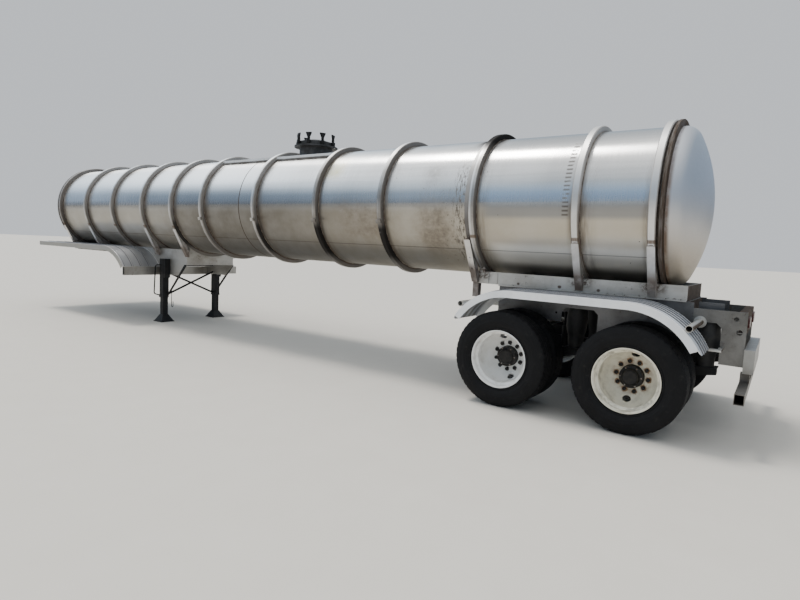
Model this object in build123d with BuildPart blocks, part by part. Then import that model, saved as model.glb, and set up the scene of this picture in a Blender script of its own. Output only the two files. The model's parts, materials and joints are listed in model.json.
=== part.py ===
"""Tanker semi-trailer: a ring-stiffened stainless barrel on a tandem axle, parked on its landing legs.

Frame: X forward, Y to the trailer's left, Z up from the ground, X = 0 at mid-length. Millimetres.
Lengthwise places are given as a distance ahead of the rear axle.
"""
import os
from math import acos, atan2, cos, radians, sin, sqrt

from build123d import *

os.makedirs("parts", exist_ok=True)

# Running gear
rear_axle_x = -5615.0
axle_spacing = 1245.0
tyre_radius = 495.5
axle_z = tyre_radius
tyre_half_width = 135.0
tyre_tread_half = 98.0
tyre_shoulder = 15.0
tyre_shoulder_width = 12.0
tyre_flange_gap = 3.0
dual_centre_y = 915.0
dual_spacing = 343.0
rim_seat_radius = 286.0
rim_flange_radius = 298.5
rim_half_width = 117.0
rim_bead_inset = 13.0
rim_wall = 8.0
rim_well_depth = 22.0
rim_well_half = 44.0
rim_ledge_half = 60.0
rim_slope_lap = 4.0
rim_flange_width = 8.0
rim_flange_foot = 2.0
rim_flange_run = 16.0
rim_toe_width = 1.0
rim_toe_rise = 4.0
disc_thickness = 11.0
disc_bore_radius = 110.5
disc_flange_radius = 166.0
disc_bend_shift = 4.0
disc_root_width = 24.0
# Middles of the disc's dished curves: depth from its bolting face, and radius
disc_front_swell = (50.0, 228.0)
disc_back_swell = (60.0, 221.0)
hand_hole_circle = 214.0
hand_hole_long = 76.0
hand_hole_wide = 50.0
bead_clearance = 0.3
running_clearance = 0.05

# Hub, drum and axle
hub_barrel_radius = 104.0
hub_core_radius = 75.0
hub_cap_radius = 82.0
hub_flange_radius = 162.0
hub_flange_thickness = 11.0
hub_reach = 77.0
hub_end_y = dual_centre_y + hub_reach
hub_cap_depth = 38.0
hub_cap_edge = 6.0
hub_cap_bevel = 8.0
hub_cap_taper = 10.0
hub_cap_crown_inset = 22.0
hub_core_setback = 24.0
hub_web_setback = 30.0
hub_web_drop = 6.0
hub_flange_lip = 20.0
spindle_end_gap = 8.0
stud_count = 10
stud_circle = 142.875
nut_radius = 19.0
nut_height = 22.0
stud_tip_radius = 10.5
stud_tip_height = 8.0
drum_radius = 206.0
drum_wall = 14.0
axle_tube_radius = 63.5
axle_tube_half = 600.0
spindle_radius = 38.0
shield_radius = 200.0
shield_thickness = 4.0
axle_taper = 40.0
drum_gap = 28.0
drum_inner_y = axle_tube_half + shield_thickness + drum_gap
drum_setback = 93.0
drum_outer_y = dual_centre_y - drum_setback
spindle_reach = 37.0
spindle_end_y = dual_centre_y + spindle_reach

# Barrel, heads and stiffening rings
shell_radius = 815.0
tank_bottom_z = 1313.0
tank_axis_z = tank_bottom_z + shell_radius
barrel_rear_ahead = -130.0
barrel_front_ahead = 11860.0
head_depth = 300.0
head_knuckle = 150.0
ring_height = 67.0
ring_width = 73.0
ring_edge = 9.0
ring_radius = shell_radius + ring_height
head_ring_width = 29.0
head_ring_gap = 25.0
splice_band_ahead = 1909.0
splice_band_height = 8.0
joint_lug_deg = 15.0
joint_lug_height = 26.0
joint_lug_root = 2.0
joint_lug_length = 46.0

# Struts from the rings down to the frames
strut_foot_reach = 34.0
strut_lap = 8.0
strut_crown = 14.0
web_thickness = 12.0
strut_foot_z = 1226.0

# Frames
frame_half_y = 500.0
rail_width = 76.0
rail_inner_y = frame_half_y - rail_width
ring_clearance = 0.6
rail_top_z = tank_axis_z - sqrt(ring_radius**2 - rail_inner_y**2) - ring_clearance
rail_bottom_z = 1214.0
flange_thickness = 11.0
flange_reach = 38.0
plate_thickness = 10.0
splice_gap = 2.0
saddle_front_ahead = splice_band_ahead - ring_width / 2 - splice_gap
saddle_rear_ahead = -340.0
cradle_thickness = 14.0
bolt_head_radius = 13.0
bolt_head_height = 9.0
splice_clamp_width = 14.0
post_bottom_z = 1050.0
post_hole_radius = 11.0
beam_seat_gap = 3.0

# Front frame, coupler plate and kingpin
front_frame_front_ahead = 11930.0
leg_ahead = 8320.0
drop_plate_rear_reach = 620.0
drop_plate_front_reach = 560.0
drop_plate_rear_ahead = leg_ahead - drop_plate_rear_reach
drop_plate_front_ahead = leg_ahead + drop_plate_front_reach
drop_plate_rear_slope = 210.0
drop_plate_front_slope = 40.0
drop_plate_bottom_z = 873.0
drop_plate_step_z = 1080.0
coupler_front_ahead = 11900.0
coupler_rear_ahead = 10300.0
coupler_thickness = 10.0
coupler_half_width = 450.0
kingpin_ahead = 11250.0
kingpin_shoulder_radius = 36.5
kingpin_hole_clearance = 0.3
kingpin_shoulder_length = 30.0
kingpin_neck_radius = 25.4
kingpin_neck_length = 35.0
kingpin_flange_radius = 35.7
kingpin_flange_length = 19.0

# Front wings, one each side over the towing vehicle's wheels
wing_half_y = 1205.0
wing_drop = 2.0
wing_top_z = rail_top_z - wing_drop
wing_front_ahead = front_frame_front_ahead
wing_arc_radius = 852.0
wing_arc_deg = 53.2
wing_lip_deg = 52.4
wing_lip = 80.0
sheet_thickness = 5.0
lip_thickness = 6.0
sheet_rib_height = 9.0
sheet_rib_width = 26.0
wing_rib_count = 3
wing_rib_inner_margin = 190.0
wing_rib_outer_margin = 169.0
wing_beam_reach = 180.0
wing_beam_rear_ahead = leg_ahead + wing_beam_reach
wing_beam_depth = 75.0
wing_beam_height = 151.0
wing_beam_wall = 6.0
wing_seat_lap = 3.2
wing_seat_gap = 0.3
wing_sheet_inner_radius = wing_arc_radius - sheet_thickness
wing_arc_ahead = (wing_beam_rear_ahead + wing_beam_depth - wing_seat_lap
                  + wing_sheet_inner_radius * sin(radians(wing_arc_deg)))
wing_beam_top_z = (wing_top_z - wing_arc_radius - wing_seat_gap
                   + wing_sheet_inner_radius * cos(radians(wing_arc_deg)))
wing_beam_bottom_z = wing_beam_top_z - wing_beam_height

# Landing gear
leg_tube = 115.0
leg_top_z = 1165.0
leg_bottom_z = 450.0
leg_collar = 6.0
leg_collar_height = 26.0
leg_gearbox_depth = 48.0
leg_gearbox_height = 345.0
leg_gearbox_inset = 4.0
foot_tube = 98.0
foot_base = 262.0
foot_flare_z = 128.0
foot_plate = 14.0
foot_edge_inset = 10.0
foot_flare_lap = 7.0
brace_size = 36.0
brace_low_z = 500.0
brace_top_z = 915.0
side_brace_top_z = 1085.0
side_brace_thickness = 20.0
side_brace_end_inset = 10.0
side_brace_end_width = 40.0
side_brace_end_depth = 20.0
cross_shaft_radius = 14.0
cross_shaft_z = 1040.0
shaft_hole_gap = 6.0
crank_radius = 11.0
crank_reach = 105.0
crank_top_z = 1050.0
crank_low_z = 520.0
crank_bend = 40.0
crank_offset = 20.0
crank_lean = 40.0
crank_handle_drop = 30.0
hook_reach = 190.0
hook_ahead = leg_ahead - hook_reach
hook_radius = 6.0
hook_width = 50.0
hook_low_z = 290.0
hook_height = 350.0
hook_bend = 22.0

# Rear wings over the tandem wheels
fender_edge_inset = 2.5
fender_width = 551.0
fender_outer_y = dual_centre_y + dual_spacing / 2 + tyre_half_width - fender_edge_inset
fender_inner_y = fender_outer_y - fender_width
fender_top_z = 1203.0
fender_arc_radius = 694.0
fender_front_arc_setback = 55.0
fender_front_arc_ahead = axle_spacing - fender_front_arc_setback
fender_front_deg = 60.7
fender_rear_arc_ahead = 50.0
fender_rear_deg = 64.5
fender_lip = 68.0
fender_corner = 70.0
fender_corner_margin = 20.0
fender_corner_flats_deg = (0.0, 30.0, 60.0, 90.0)
fender_rib_count = 4
fender_rib_inner_margin = 72.0
fender_rib_outer_margin = 123.0
fender_pipe_radius = 30.0
fender_pipe_wall = 5.0
fender_pipe_deg = 45.0
fender_pipe_flange = 55.0
stay_height = 18.0
stay_width = 36.0
stay_seat = 30.0
stay_gap = 0.3
stay_inner_reach = 50.0
stay_outer_reach = 30.0

# Suspension frame and rear end
side_plate_bottom_z = 875.0
side_plate_front_reach = 355.0
side_plate_front_ahead = axle_spacing + side_plate_front_reach
side_plate_chamfer = 30.0
side_hole_ahead = 915.0
side_hole_z = 965.0
side_hole_radius = 12.0
cross_member_width = 60.0
cross_member_depth = 160.0
side_plate_rear_ahead = -405.0
end_plate_top_z = 1152.0
end_plate_bottom_z = 650.0
end_plate_rear_ahead = -845.0
end_plate_front_ahead = -648.0
end_plate_doubler = 4.0
end_plate_seam_z = 855.0
channel_depth = 198.0
channel_wall = 8.0
channel_flange = 70.0
notch_top_z = 1030.0
notch_corner = 45.0
bumper_depth = 85.0
bumper_overhang = 50.0
bumper_half_y = frame_half_y + bumper_overhang
bumper_top_z = 820.0
bumper_bottom_z = 603.0
bumper_wall = 6.0
guard_half_y = 1100.0
guard_top_z = 520.0
guard_bottom_z = 430.0
guard_depth = 76.0
guard_wall = 5.0
guard_post_y = 470.0
guard_inset = 25.0
lamp_radius = 52.0
lamp_depth = 16.0
lamp_places_y = (280.0, 400.0)

# Air suspension
pivot_ahead_of_axle = 400.0
pivot_z = 600.0
pivot_radius = 28.0
pivot_bolt_height = 16.0
arm_inset = 60.0
arm_y = frame_half_y - arm_inset
arm_width = 76.0
arm_side_gap = 1.0
arm_eye_reach = 50.0
arm_eye_half = 40.0
arm_boss_half = 110.0
arm_boss_drop = 90.0
arm_boss_rise = 95.0
arm_tail_depth = 60.0
hanger_half = 75.0
hanger_wall = 8.0
hanger_drop = 60.0
hanger_seat_reach = 50.0
spring_behind_axle = 530.0
notch_front_reach = 138.0
notch_rear_reach = 245.0
notch_front_ahead = axle_spacing - spring_behind_axle + notch_front_reach
notch_rear_ahead = axle_spacing - spring_behind_axle - notch_rear_reach
spring_radius = 110.0
spring_neck_radius = 92.0
spring_piston_radius = 78.0
spring_seat_z = 600.0
spring_seat_half = 110.0
spring_inset = 55.0
spring_y = arm_y - spring_inset
spring_seat_reach = 100.0
spring_seat_inner_y = spring_y - spring_seat_reach
spring_piston_height = 130.0
spring_piston_flare = 8.0
spring_roll_height = 150.0
spring_belly_height = 280.0
spring_crown_height = 12.0
chamber_radius = 82.0
chamber_length = 150.0
chamber_inset = 170.0
chamber_y = arm_y - chamber_inset
chamber_bracket_half = 30.0
chamber_bracket_length = 50.0
damper_radius = 32.0
damper_inset = 80.0
damper_y = arm_y - damper_inset
damper_behind_axle = 160.0
damper_bracket_half = 30.0
damper_length = 230.0
damper_rod_length = 170.0

# Manway and overturn rails
manway_ahead = 5080.0
manway_bore_radius = 246.0
manway_wall = 8.0
manway_neck_drop = 90.0
manway_collar_radius = 335.0
manway_collar_rise = 109.0
manway_collar_z = tank_axis_z + shell_radius + manway_collar_rise
manway_collar_thickness = 22.0
lid_radius = 268.0
lid_skirt = 62.0
lid_crown = 30.0
lid_crown_slope = 72.0
lid_wall = 10.0
lid_edge_inset = 8.0
lid_gap = 0.3
knuckle_radius = 14.0
knuckle_half = 46.0
knuckle_pin_radius = 7.0
hinge_reach = 42.0
hinge_ear_spread = 60.0
hinge_ear_width = 16.0
hinge_ear_half = 20.0
hinge_ear_crown = 18.0
hinge_rise = 45.0
hinge_arm_half_width = 40.0
hinge_arm_half_height = 10.0
clamp_count = 6
clamp_first_deg = -14.0
clamp_last_deg = 194.0
clamp_circle = 292.0
clamp_screw_radius = 9.0
clamp_rise = 100.0
clamp_bar_length = 90.0
clamp_bar_size = 14.0
clamp_dog_lap = 10.0
clamp_dog_height = 16.0
overturn_y = 452.0
overturn_flange = 42.0
overturn_wall = 8.0
overturn_depth = 120.0

# Outlet
outlet_ahead = 200.0
outlet_radius = 57.0
outlet_z = 860.0
outlet_bend = 115.0
outlet_end_ahead = -620.0
outlet_cap_depth = 50.0
outlet_cap_lap = 14.0
outlet_flange_radius = 110.0
outlet_flange_height = 62.0
outlet_flange_drop = 63.0
valve_radius = 90.0
valve_height = 90.0
valve_drop = 193.0

SIDES = (("left", 1), ("right", -1))

# Axles: name, distance ahead of the rear axle, turn of the studs and hand holes in degrees
AXLES = (("front", axle_spacing, 15.0), ("rear", 0.0, -6.0))

# Stiffening rings, front to rear: distance ahead of the rear axle, and the height of its struts' feet
# (none where the ring has no struts)
RINGS = (
    (11760.0, wing_top_z),
    (10671.0, wing_top_z),
    (9635.0, None),
    (8586.0, strut_foot_z),
    (7664.0, strut_foot_z),
    (6804.0, None),
    (5509.0, None),
    (4243.0, None),
    (3124.0, None),
    (1834.0, None),
    (683.0, strut_foot_z),
    (-31.0, strut_foot_z),
)
ring_places = [ring_ahead for ring_ahead, foot_z in RINGS]
first_ring_ahead, last_ring_ahead = ring_places[0], ring_places[-1]
front_frame_rear_ahead = ring_places[4] - ring_width / 2
front_bolster_rings = (ring_places[0], ring_places[1], ring_places[3], ring_places[4])
rear_bolster_rings = ring_places[9:]
lugged_rings = ring_places[5:9]
overturn_bays = ((ring_places[6], ring_places[5]), (ring_places[7], ring_places[6]))

# Lengthwise places of what stands between or beside the rings
rear_cradles_ahead = (1300.0, 330.0)
front_cradles_ahead = (11350.0, 10150.0, 9110.0, 8125.0)
cross_members_ahead = (1500.0, 960.0, 380.0, -360.0)
splice_clamps_ahead = (1740.0, 1630.0)
bolt_row_ahead = (1700.0, 1439.0, 1259.0, 1045.0, 866.0, 549.0, 397.0, 327.0, 230.0, -150.0, -280.0)

# Holes in the splice posts as (y, z), and in the end plates as (distance ahead, z, radius)
strut_hole_spots = ((670.0, 1510.0), (600.0, 1385.0), (560.0, 1290.0))
end_plate_holes = ((-757.0, 1083.0, 20.0), (-791.0, 963.0, 25.0))

# Bolts on the end plates as (distance ahead, z)
end_plate_bolts = ((-722.0, 1120.0), (-796.0, 1119.0), (-717.0, 1050.0), (-795.0, 1046.0))


def ahead(distance):
    """X of a place given as a distance ahead of the rear axle."""
    return rear_axle_x + distance


def finish(builder, label):
    """Label a finished sub-part and write its file."""
    builder.part.label = label
    export_step(builder.part, f"parts/{label}.step")


def side_plane(y):
    """Plane at a given Y whose local axes are X and Z, extruding towards -Y."""
    return Plane.XZ.offset(-y)


def cross_plane(x):
    """Plane across the trailer at a given X, whose local axes are Y and Z."""
    return Plane.YZ.offset(x)


def on_arc(centre_x, centre_z, radius, angle):
    """Point on an arc, by its angle in degrees from straight up, positive towards the front."""
    return (centre_x + radius * sin(radians(angle)), centre_z + radius * cos(radians(angle)))


def block(x0, x1, y0, y1, z0, z1, mode=Mode.ADD):
    """Rectangular bar between two corners."""
    with BuildSketch(Plane.XY.offset(min(z0, z1))) as base:
        with Locations(((x0 + x1) / 2, (y0 + y1) / 2)):
            Rectangle(abs(x1 - x0), abs(y1 - y0))
    extrude(base.sketch, amount=abs(z1 - z0), mode=mode)


def box_tube(x0, x1, y0, y1, z0, z1, wall):
    """Rectangular tube across the trailer, open at both ends."""
    block(x0, x1, y0, y1, z0, z1)
    block(x0 + wall, x1 - wall, y0, y1, z0 + wall, z1 - wall, mode=Mode.SUBTRACT)


def side_polygon(points, side, outer_y, thickness):
    """Upright lengthwise plate through (x, z) points, its outer face at outer_y on the named side."""
    with BuildSketch(side_plane(outer_y if side > 0 else thickness - outer_y)) as plate:
        with BuildLine():
            Polyline(*points, close=True)
        make_face()
    extrude(plate.sketch, amount=thickness)


def side_disc(x, z, radius, side, inner_y, thickness, mode=Mode.ADD):
    """Round disc facing sideways, standing outward from inner_y on the named side."""
    with BuildSketch(side_plane(inner_y + thickness if side > 0 else -inner_y)) as disc:
        with Locations((x, z)):
            Circle(radius)
    extrude(disc.sketch, amount=thickness, mode=mode)


def upright_disc(x, y, z, radius, height, mode=Mode.ADD):
    """Round disc standing up from height z."""
    with BuildSketch(Plane.XY.offset(z)) as disc:
        with Locations((x, y)):
            Circle(radius)
    extrude(disc.sketch, amount=height, mode=mode)


# Barrel
barrel_rear_x = ahead(barrel_rear_ahead)
barrel_front_x = ahead(barrel_front_ahead)
barrel_axis = Axis((0, 0, tank_axis_z), (1, 0, 0))

with BuildPart() as tank_barrel:
    with BuildSketch(cross_plane(barrel_rear_x)):
        with Locations((0, tank_axis_z)):
            Circle(shell_radius)
    extrude(amount=barrel_front_x - barrel_rear_x)
finish(tank_barrel, "tank_barrel")

# Dished heads: a crown arc that meets the barrel through a tighter knuckle arc
head_rise = shell_radius - head_knuckle
crown_radius = (head_depth**2 + head_rise**2 - head_knuckle**2) / (2 * (head_depth - head_knuckle))
crown_run = crown_radius - head_depth
crown_reach = sqrt(crown_run**2 + head_rise**2)

for end, base_x, outward in (("rear", barrel_rear_x, -1), ("front", barrel_front_x, 1)):
    apex_x = base_x + outward * head_depth
    meet = (base_x + outward * head_knuckle * crown_run / crown_reach,
            head_rise + head_knuckle * head_rise / crown_reach)
    with BuildPart() as head:
        with BuildSketch(Plane.XY.offset(tank_axis_z)):
            with BuildLine():
                knuckle = TangentArc((base_x, shell_radius), meet, tangent=(outward, 0))
                TangentArc(meet, (apex_x, 0), tangent=knuckle % 1)
                Polyline((apex_x, 0), (base_x, 0), (base_x, shell_radius))
            make_face()
        revolve(axis=barrel_axis)
    finish(head, f"tank_head_{end}")

# Stiffening rings with eased edges, a plain narrow one at each head, a splice band, and bolted ring joints
head_ring_shift = (ring_width + head_ring_width) / 2 + head_ring_gap
lug_centre_radius = ring_radius + (joint_lug_height - joint_lug_root) / 2

with BuildPart() as stiffener_rings:
    for ring_ahead in ring_places:
        low_x, high_x = ahead(ring_ahead) - ring_width / 2, ahead(ring_ahead) + ring_width / 2
        with BuildSketch(Plane.XY.offset(tank_axis_z)):
            with BuildLine():
                Polyline((low_x, shell_radius), (high_x, shell_radius), (high_x, ring_radius - ring_edge),
                         (high_x - ring_edge, ring_radius), (low_x + ring_edge, ring_radius),
                         (low_x, ring_radius - ring_edge), close=True)
            make_face()
        revolve(axis=barrel_axis)
    for band_ahead, width, height in (
        (first_ring_ahead + head_ring_shift, head_ring_width, ring_height),
        (last_ring_ahead - head_ring_shift, head_ring_width, ring_height),
        (splice_band_ahead, ring_width, splice_band_height),
    ):
        with BuildSketch(cross_plane(ahead(band_ahead) - width / 2)):
            with Locations((0, tank_axis_z)):
                Circle(shell_radius + height)
                Circle(shell_radius, mode=Mode.SUBTRACT)
        extrude(amount=width)
    for lug_ahead in lugged_rings:
        with BuildSketch(cross_plane(ahead(lug_ahead) - ring_width / 2)):
            with Locations((0, tank_axis_z)):
                for lug_turn in (-joint_lug_deg, 180.0 + joint_lug_deg):
                    with PolarLocations(lug_centre_radius, 1, start_angle=lug_turn):
                        Rectangle(joint_lug_height + joint_lug_root, joint_lug_length)
        extrude(amount=ring_width)
finish(stiffener_rings, "stiffener_rings")

# Struts: each leaves its ring along the tangent and leans in to the frame rail, with a web behind it
foot_reach_y, foot_drop = frame_half_y + strut_foot_reach, tank_axis_z - strut_foot_z
foot_distance = sqrt(foot_reach_y**2 + foot_drop**2)
strut_turn = atan2(foot_drop, foot_reach_y) - acos((ring_radius + strut_lap) / foot_distance)
out_y, out_z = cos(strut_turn), -sin(strut_turn)
down_y, down_z = out_z, -out_y
strut_top = (out_y * (ring_radius + strut_lap), tank_axis_z + out_z * (ring_radius + strut_lap))
strut_back = (out_y * shell_radius, tank_axis_z + out_z * shell_radius)
rail_meet_z = strut_back[1] + down_z * (frame_half_y - strut_back[0]) / down_y
ring_at_rail_z = tank_axis_z - sqrt(ring_radius**2 - frame_half_y**2)


def strut_foot(foot_z):
    """Corners of a strut's lower end in (y, z), from its back round to its outer face."""
    foot_outer = (strut_top[0] + down_y * (foot_z - strut_top[1]) / down_z, foot_z)
    if rail_meet_z > foot_z:
        return [(frame_half_y, rail_meet_z), (frame_half_y, foot_z), foot_outer]
    return [(strut_back[0] + down_y * (foot_z - strut_back[1]) / down_z, foot_z), foot_outer]


struts = [(ring_ahead, foot_z, ring_radius) for ring_ahead, foot_z in RINGS if foot_z]
struts += [(splice_band_ahead, strut_foot_z, shell_radius + splice_band_height)]

with BuildPart() as ring_struts:
    for strut_ahead, foot_z, cut_radius in struts:
        strut_x = ahead(strut_ahead)
        with BuildSketch(cross_plane(strut_x - ring_width / 2)):
            with BuildLine():
                Polyline(strut_top, strut_back, *strut_foot(foot_z), close=True)
            make_face()
            with Locations((0, tank_axis_z)):
                Circle(cut_radius, mode=Mode.SUBTRACT)
        extrude(amount=ring_width)
        with BuildSketch(Plane(origin=(strut_x, *strut_top), x_dir=(1, 0, 0), z_dir=(0, out_y, out_z))):
            with BuildLine():
                ThreePointArc((-ring_width / 2, strut_crown), (0, 0), (ring_width / 2, strut_crown))
                Polyline((ring_width / 2, strut_crown), (ring_width / 2, -strut_crown),
                         (-ring_width / 2, -strut_crown), (-ring_width / 2, strut_crown))
            make_face()
        extrude(amount=-2 * ring_height, mode=Mode.SUBTRACT)
        with BuildSketch(cross_plane(strut_x - web_thickness / 2)):
            with BuildLine():
                Polyline(strut_back, (frame_half_y, ring_at_rail_z + ring_edge), (frame_half_y, foot_z),
                         strut_foot(foot_z)[-1], close=True)
            make_face()
            with Locations((0, tank_axis_z)):
                Circle(cut_radius, mode=Mode.SUBTRACT)
        extrude(amount=web_thickness)
    post_x = ahead(splice_band_ahead)
    block(post_x - ring_width / 2, post_x + ring_width / 2, frame_half_y - rail_width, frame_half_y,
          post_bottom_z, rail_top_z)
    for hole_y, hole_z in strut_hole_spots:
        side_disc(post_x, hole_z, post_hole_radius, 1, hole_y, 2 * ring_height, mode=Mode.SUBTRACT)
    mirror(about=Plane.XZ)
finish(ring_struts, "ring_struts")


# Cradle: upright cross plate whose top edge follows the shell or a ring
def cradle(x, thickness, cut_radius, top_z):
    """Cross plate from one rail to the other, hollowed on top by a circle round the barrel's axis."""
    with BuildSketch(cross_plane(x - thickness / 2)) as section:
        with Locations((0, (rail_bottom_z + top_z) / 2)):
            Rectangle(2 * frame_half_y, top_z - rail_bottom_z)
        with Locations((0, tank_axis_z)):
            Circle(cut_radius, mode=Mode.SUBTRACT)
    extrude(section.sketch, amount=thickness)


inner_face_y = frame_half_y - plate_thickness
side_plate_top_z = rail_bottom_z - flange_thickness

# Rear upper frame: two flanged rails, a bolster under each ring and cradles between them
with BuildPart() as saddle_frame:
    for name, side in SIDES:
        block(ahead(saddle_rear_ahead), ahead(saddle_front_ahead), side * rail_inner_y, side * frame_half_y,
              rail_bottom_z, rail_top_z)
        block(ahead(saddle_rear_ahead), ahead(side_plate_front_ahead), side * rail_inner_y,
              side * (frame_half_y + flange_reach), side_plate_top_z, rail_bottom_z)
        with BuildSketch(Plane.XY.offset(rail_bottom_z)):
            for bolt_ahead in bolt_row_ahead[1:]:
                with Locations((ahead(bolt_ahead), side * (frame_half_y + flange_reach / 2))):
                    RegularPolygon(bolt_head_radius, 6)
        extrude(amount=bolt_head_height)
        for clamp_ahead in splice_clamps_ahead:
            block(ahead(clamp_ahead), ahead(clamp_ahead) + splice_clamp_width, side * frame_half_y,
                  side * (frame_half_y + bolt_head_height), rail_bottom_z, rail_top_z - splice_clamp_width)
    for bolster_ahead in rear_bolster_rings:
        cradle(ahead(bolster_ahead), ring_width, ring_radius, ring_at_rail_z)
    for cradle_ahead in rear_cradles_ahead:
        cradle(ahead(cradle_ahead), cradle_thickness, shell_radius, rail_top_z)
    block(ahead(saddle_rear_ahead), ahead(saddle_rear_ahead) + plate_thickness, -frame_half_y, frame_half_y,
          side_plate_top_z, rail_top_z)
finish(saddle_frame, "saddle_frame")

# Front frame: rails, bolsters and cradles above the coupler plate, with a drop plate that carries each leg
beam_seat_z = wing_beam_top_z + beam_seat_gap
drop_plate_points = (
    (drop_plate_front_ahead, rail_bottom_z),
    (drop_plate_front_ahead - drop_plate_front_slope, beam_seat_z),
    (wing_beam_rear_ahead, beam_seat_z),
    (wing_beam_rear_ahead, drop_plate_bottom_z),
    (drop_plate_rear_ahead + drop_plate_rear_slope, drop_plate_bottom_z),
    (drop_plate_rear_ahead, drop_plate_step_z),
    (drop_plate_rear_ahead, rail_bottom_z),
)
with BuildPart() as front_frame:
    for name, side in SIDES:
        block(ahead(front_frame_rear_ahead), ahead(front_frame_front_ahead), side * rail_inner_y,
              side * frame_half_y, rail_bottom_z, rail_top_z)
        side_polygon([(ahead(x), z) for x, z in drop_plate_points], side, frame_half_y, plate_thickness)
        side_disc(ahead(leg_ahead), cross_shaft_z, cross_shaft_radius + shaft_hole_gap, side, inner_face_y,
                  plate_thickness, mode=Mode.SUBTRACT)
        block(ahead(drop_plate_rear_ahead), ahead(drop_plate_front_ahead), side * rail_inner_y,
              side * inner_face_y, side_plate_top_z, rail_bottom_z)
    for bolster_ahead in front_bolster_rings:
        cradle(ahead(bolster_ahead), ring_width, ring_radius, ring_at_rail_z)
    for cradle_ahead in front_cradles_ahead:
        cradle(ahead(cradle_ahead), cradle_thickness, shell_radius, rail_top_z)
    block(ahead(drop_plate_rear_ahead), ahead(drop_plate_rear_ahead) + plate_thickness, -inner_face_y,
          inner_face_y, drop_plate_step_z, rail_bottom_z)
finish(front_frame, "front_frame")

# Coupler plate under the front frame, and the kingpin below it
with BuildPart() as coupler_plate:
    block(ahead(coupler_rear_ahead), ahead(coupler_front_ahead), -coupler_half_width,
          coupler_half_width, rail_bottom_z - coupler_thickness, rail_bottom_z)
    upright_disc(ahead(kingpin_ahead), 0, rail_bottom_z - coupler_thickness,
                 kingpin_shoulder_radius + kingpin_hole_clearance, coupler_thickness, mode=Mode.SUBTRACT)
finish(coupler_plate, "coupler_plate")

kingpin_steps = (
    (kingpin_shoulder_radius, coupler_thickness + kingpin_shoulder_length),
    (kingpin_neck_radius, kingpin_neck_length),
    (kingpin_flange_radius, kingpin_flange_length),
)
with BuildPart() as kingpin:
    step_z = rail_bottom_z
    for radius, length in kingpin_steps:
        step_z -= length
        upright_disc(ahead(kingpin_ahead), 0, step_z, radius, length)
finish(kingpin, "kingpin")


# Front wings: flat over the towing vehicle, then an arc down to a cross beam
def wing_band(out, thickness, angle):
    """Side view of the wing's sheet, or of a rib or lip on it, as a closed band."""
    top = wing_top_z + out
    centre_z = wing_top_z - wing_arc_radius
    outer, inner = wing_arc_radius + out, wing_arc_radius + out - thickness
    arc_x, front_x = ahead(wing_arc_ahead), ahead(wing_front_ahead)
    outer_end, inner_end = on_arc(arc_x, centre_z, outer, -angle), on_arc(arc_x, centre_z, inner, -angle)
    with BuildLine() as band:
        Line((front_x, top), (arc_x, top))
        ThreePointArc((arc_x, top), on_arc(arc_x, centre_z, outer, -angle / 2), outer_end)
        Line(outer_end, inner_end)
        ThreePointArc(inner_end, on_arc(arc_x, centre_z, inner, -angle / 2), (arc_x, top - thickness))
        Polyline((arc_x, top - thickness), (front_x, top - thickness), (front_x, top))
    make_face(band.edges())


def rib_places(first_y, last_y, count):
    """Inner edges of evenly spaced ribs, between the edges of a sheet's two plain margins."""
    pitch = (last_y - sheet_rib_width - first_y) / (count - 1)
    return [first_y + pitch * index for index in range(count)]


def sheet_strips(inner_y, outer_y, lip_depth, rib_places):
    """Strips of a ribbed sheet across its width: inner y, outer y, rise above the sheet, depth."""
    strips = [(inner_y, outer_y, 0.0, sheet_thickness), (outer_y - lip_thickness, outer_y, 0.0, lip_depth)]
    return strips + [(y, y + sheet_rib_width, sheet_rib_height, sheet_rib_height) for y in rib_places]


wing_ribs = rib_places(frame_half_y + wing_rib_inner_margin, wing_half_y - wing_rib_outer_margin,
                       wing_rib_count)
for name, side in SIDES:
    with BuildPart() as front_wing:
        for low_y, high_y, out, depth in sheet_strips(frame_half_y, wing_half_y, wing_lip, wing_ribs):
            with BuildSketch(side_plane(high_y if side > 0 else -low_y)):
                wing_band(out, depth, wing_lip_deg if depth == wing_lip else wing_arc_deg)
            extrude(amount=high_y - low_y)
    finish(front_wing, f"front_wing_{name}")

with BuildPart() as wing_beam:
    box_tube(ahead(wing_beam_rear_ahead), ahead(wing_beam_rear_ahead + wing_beam_depth),
             -wing_half_y, wing_half_y, wing_beam_bottom_z, wing_beam_top_z, wing_beam_wall)
finish(wing_beam, "wing_beam")

# Landing gear: a housing with its gearbox each side, and the inner tube with its flared foot
leg_x = ahead(leg_ahead)
leg_y = frame_half_y + leg_tube / 2
leg_rear_x = leg_x - leg_tube / 2
with BuildPart() as landing_legs:
    for name, side in SIDES:
        block(leg_rear_x, leg_x + leg_tube / 2, side * frame_half_y, side * (frame_half_y + leg_tube),
              leg_bottom_z, leg_top_z)
        block(leg_rear_x - leg_gearbox_depth, leg_rear_x, side * (frame_half_y + leg_gearbox_inset),
              side * (frame_half_y + leg_tube - leg_gearbox_inset), leg_top_z - leg_gearbox_height, leg_top_z)
        block(leg_rear_x - leg_collar, leg_x + leg_tube / 2 + leg_collar, side * frame_half_y,
              side * (frame_half_y + leg_tube + leg_collar), leg_bottom_z, leg_bottom_z + leg_collar_height)
finish(landing_legs, "landing_legs")

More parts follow.
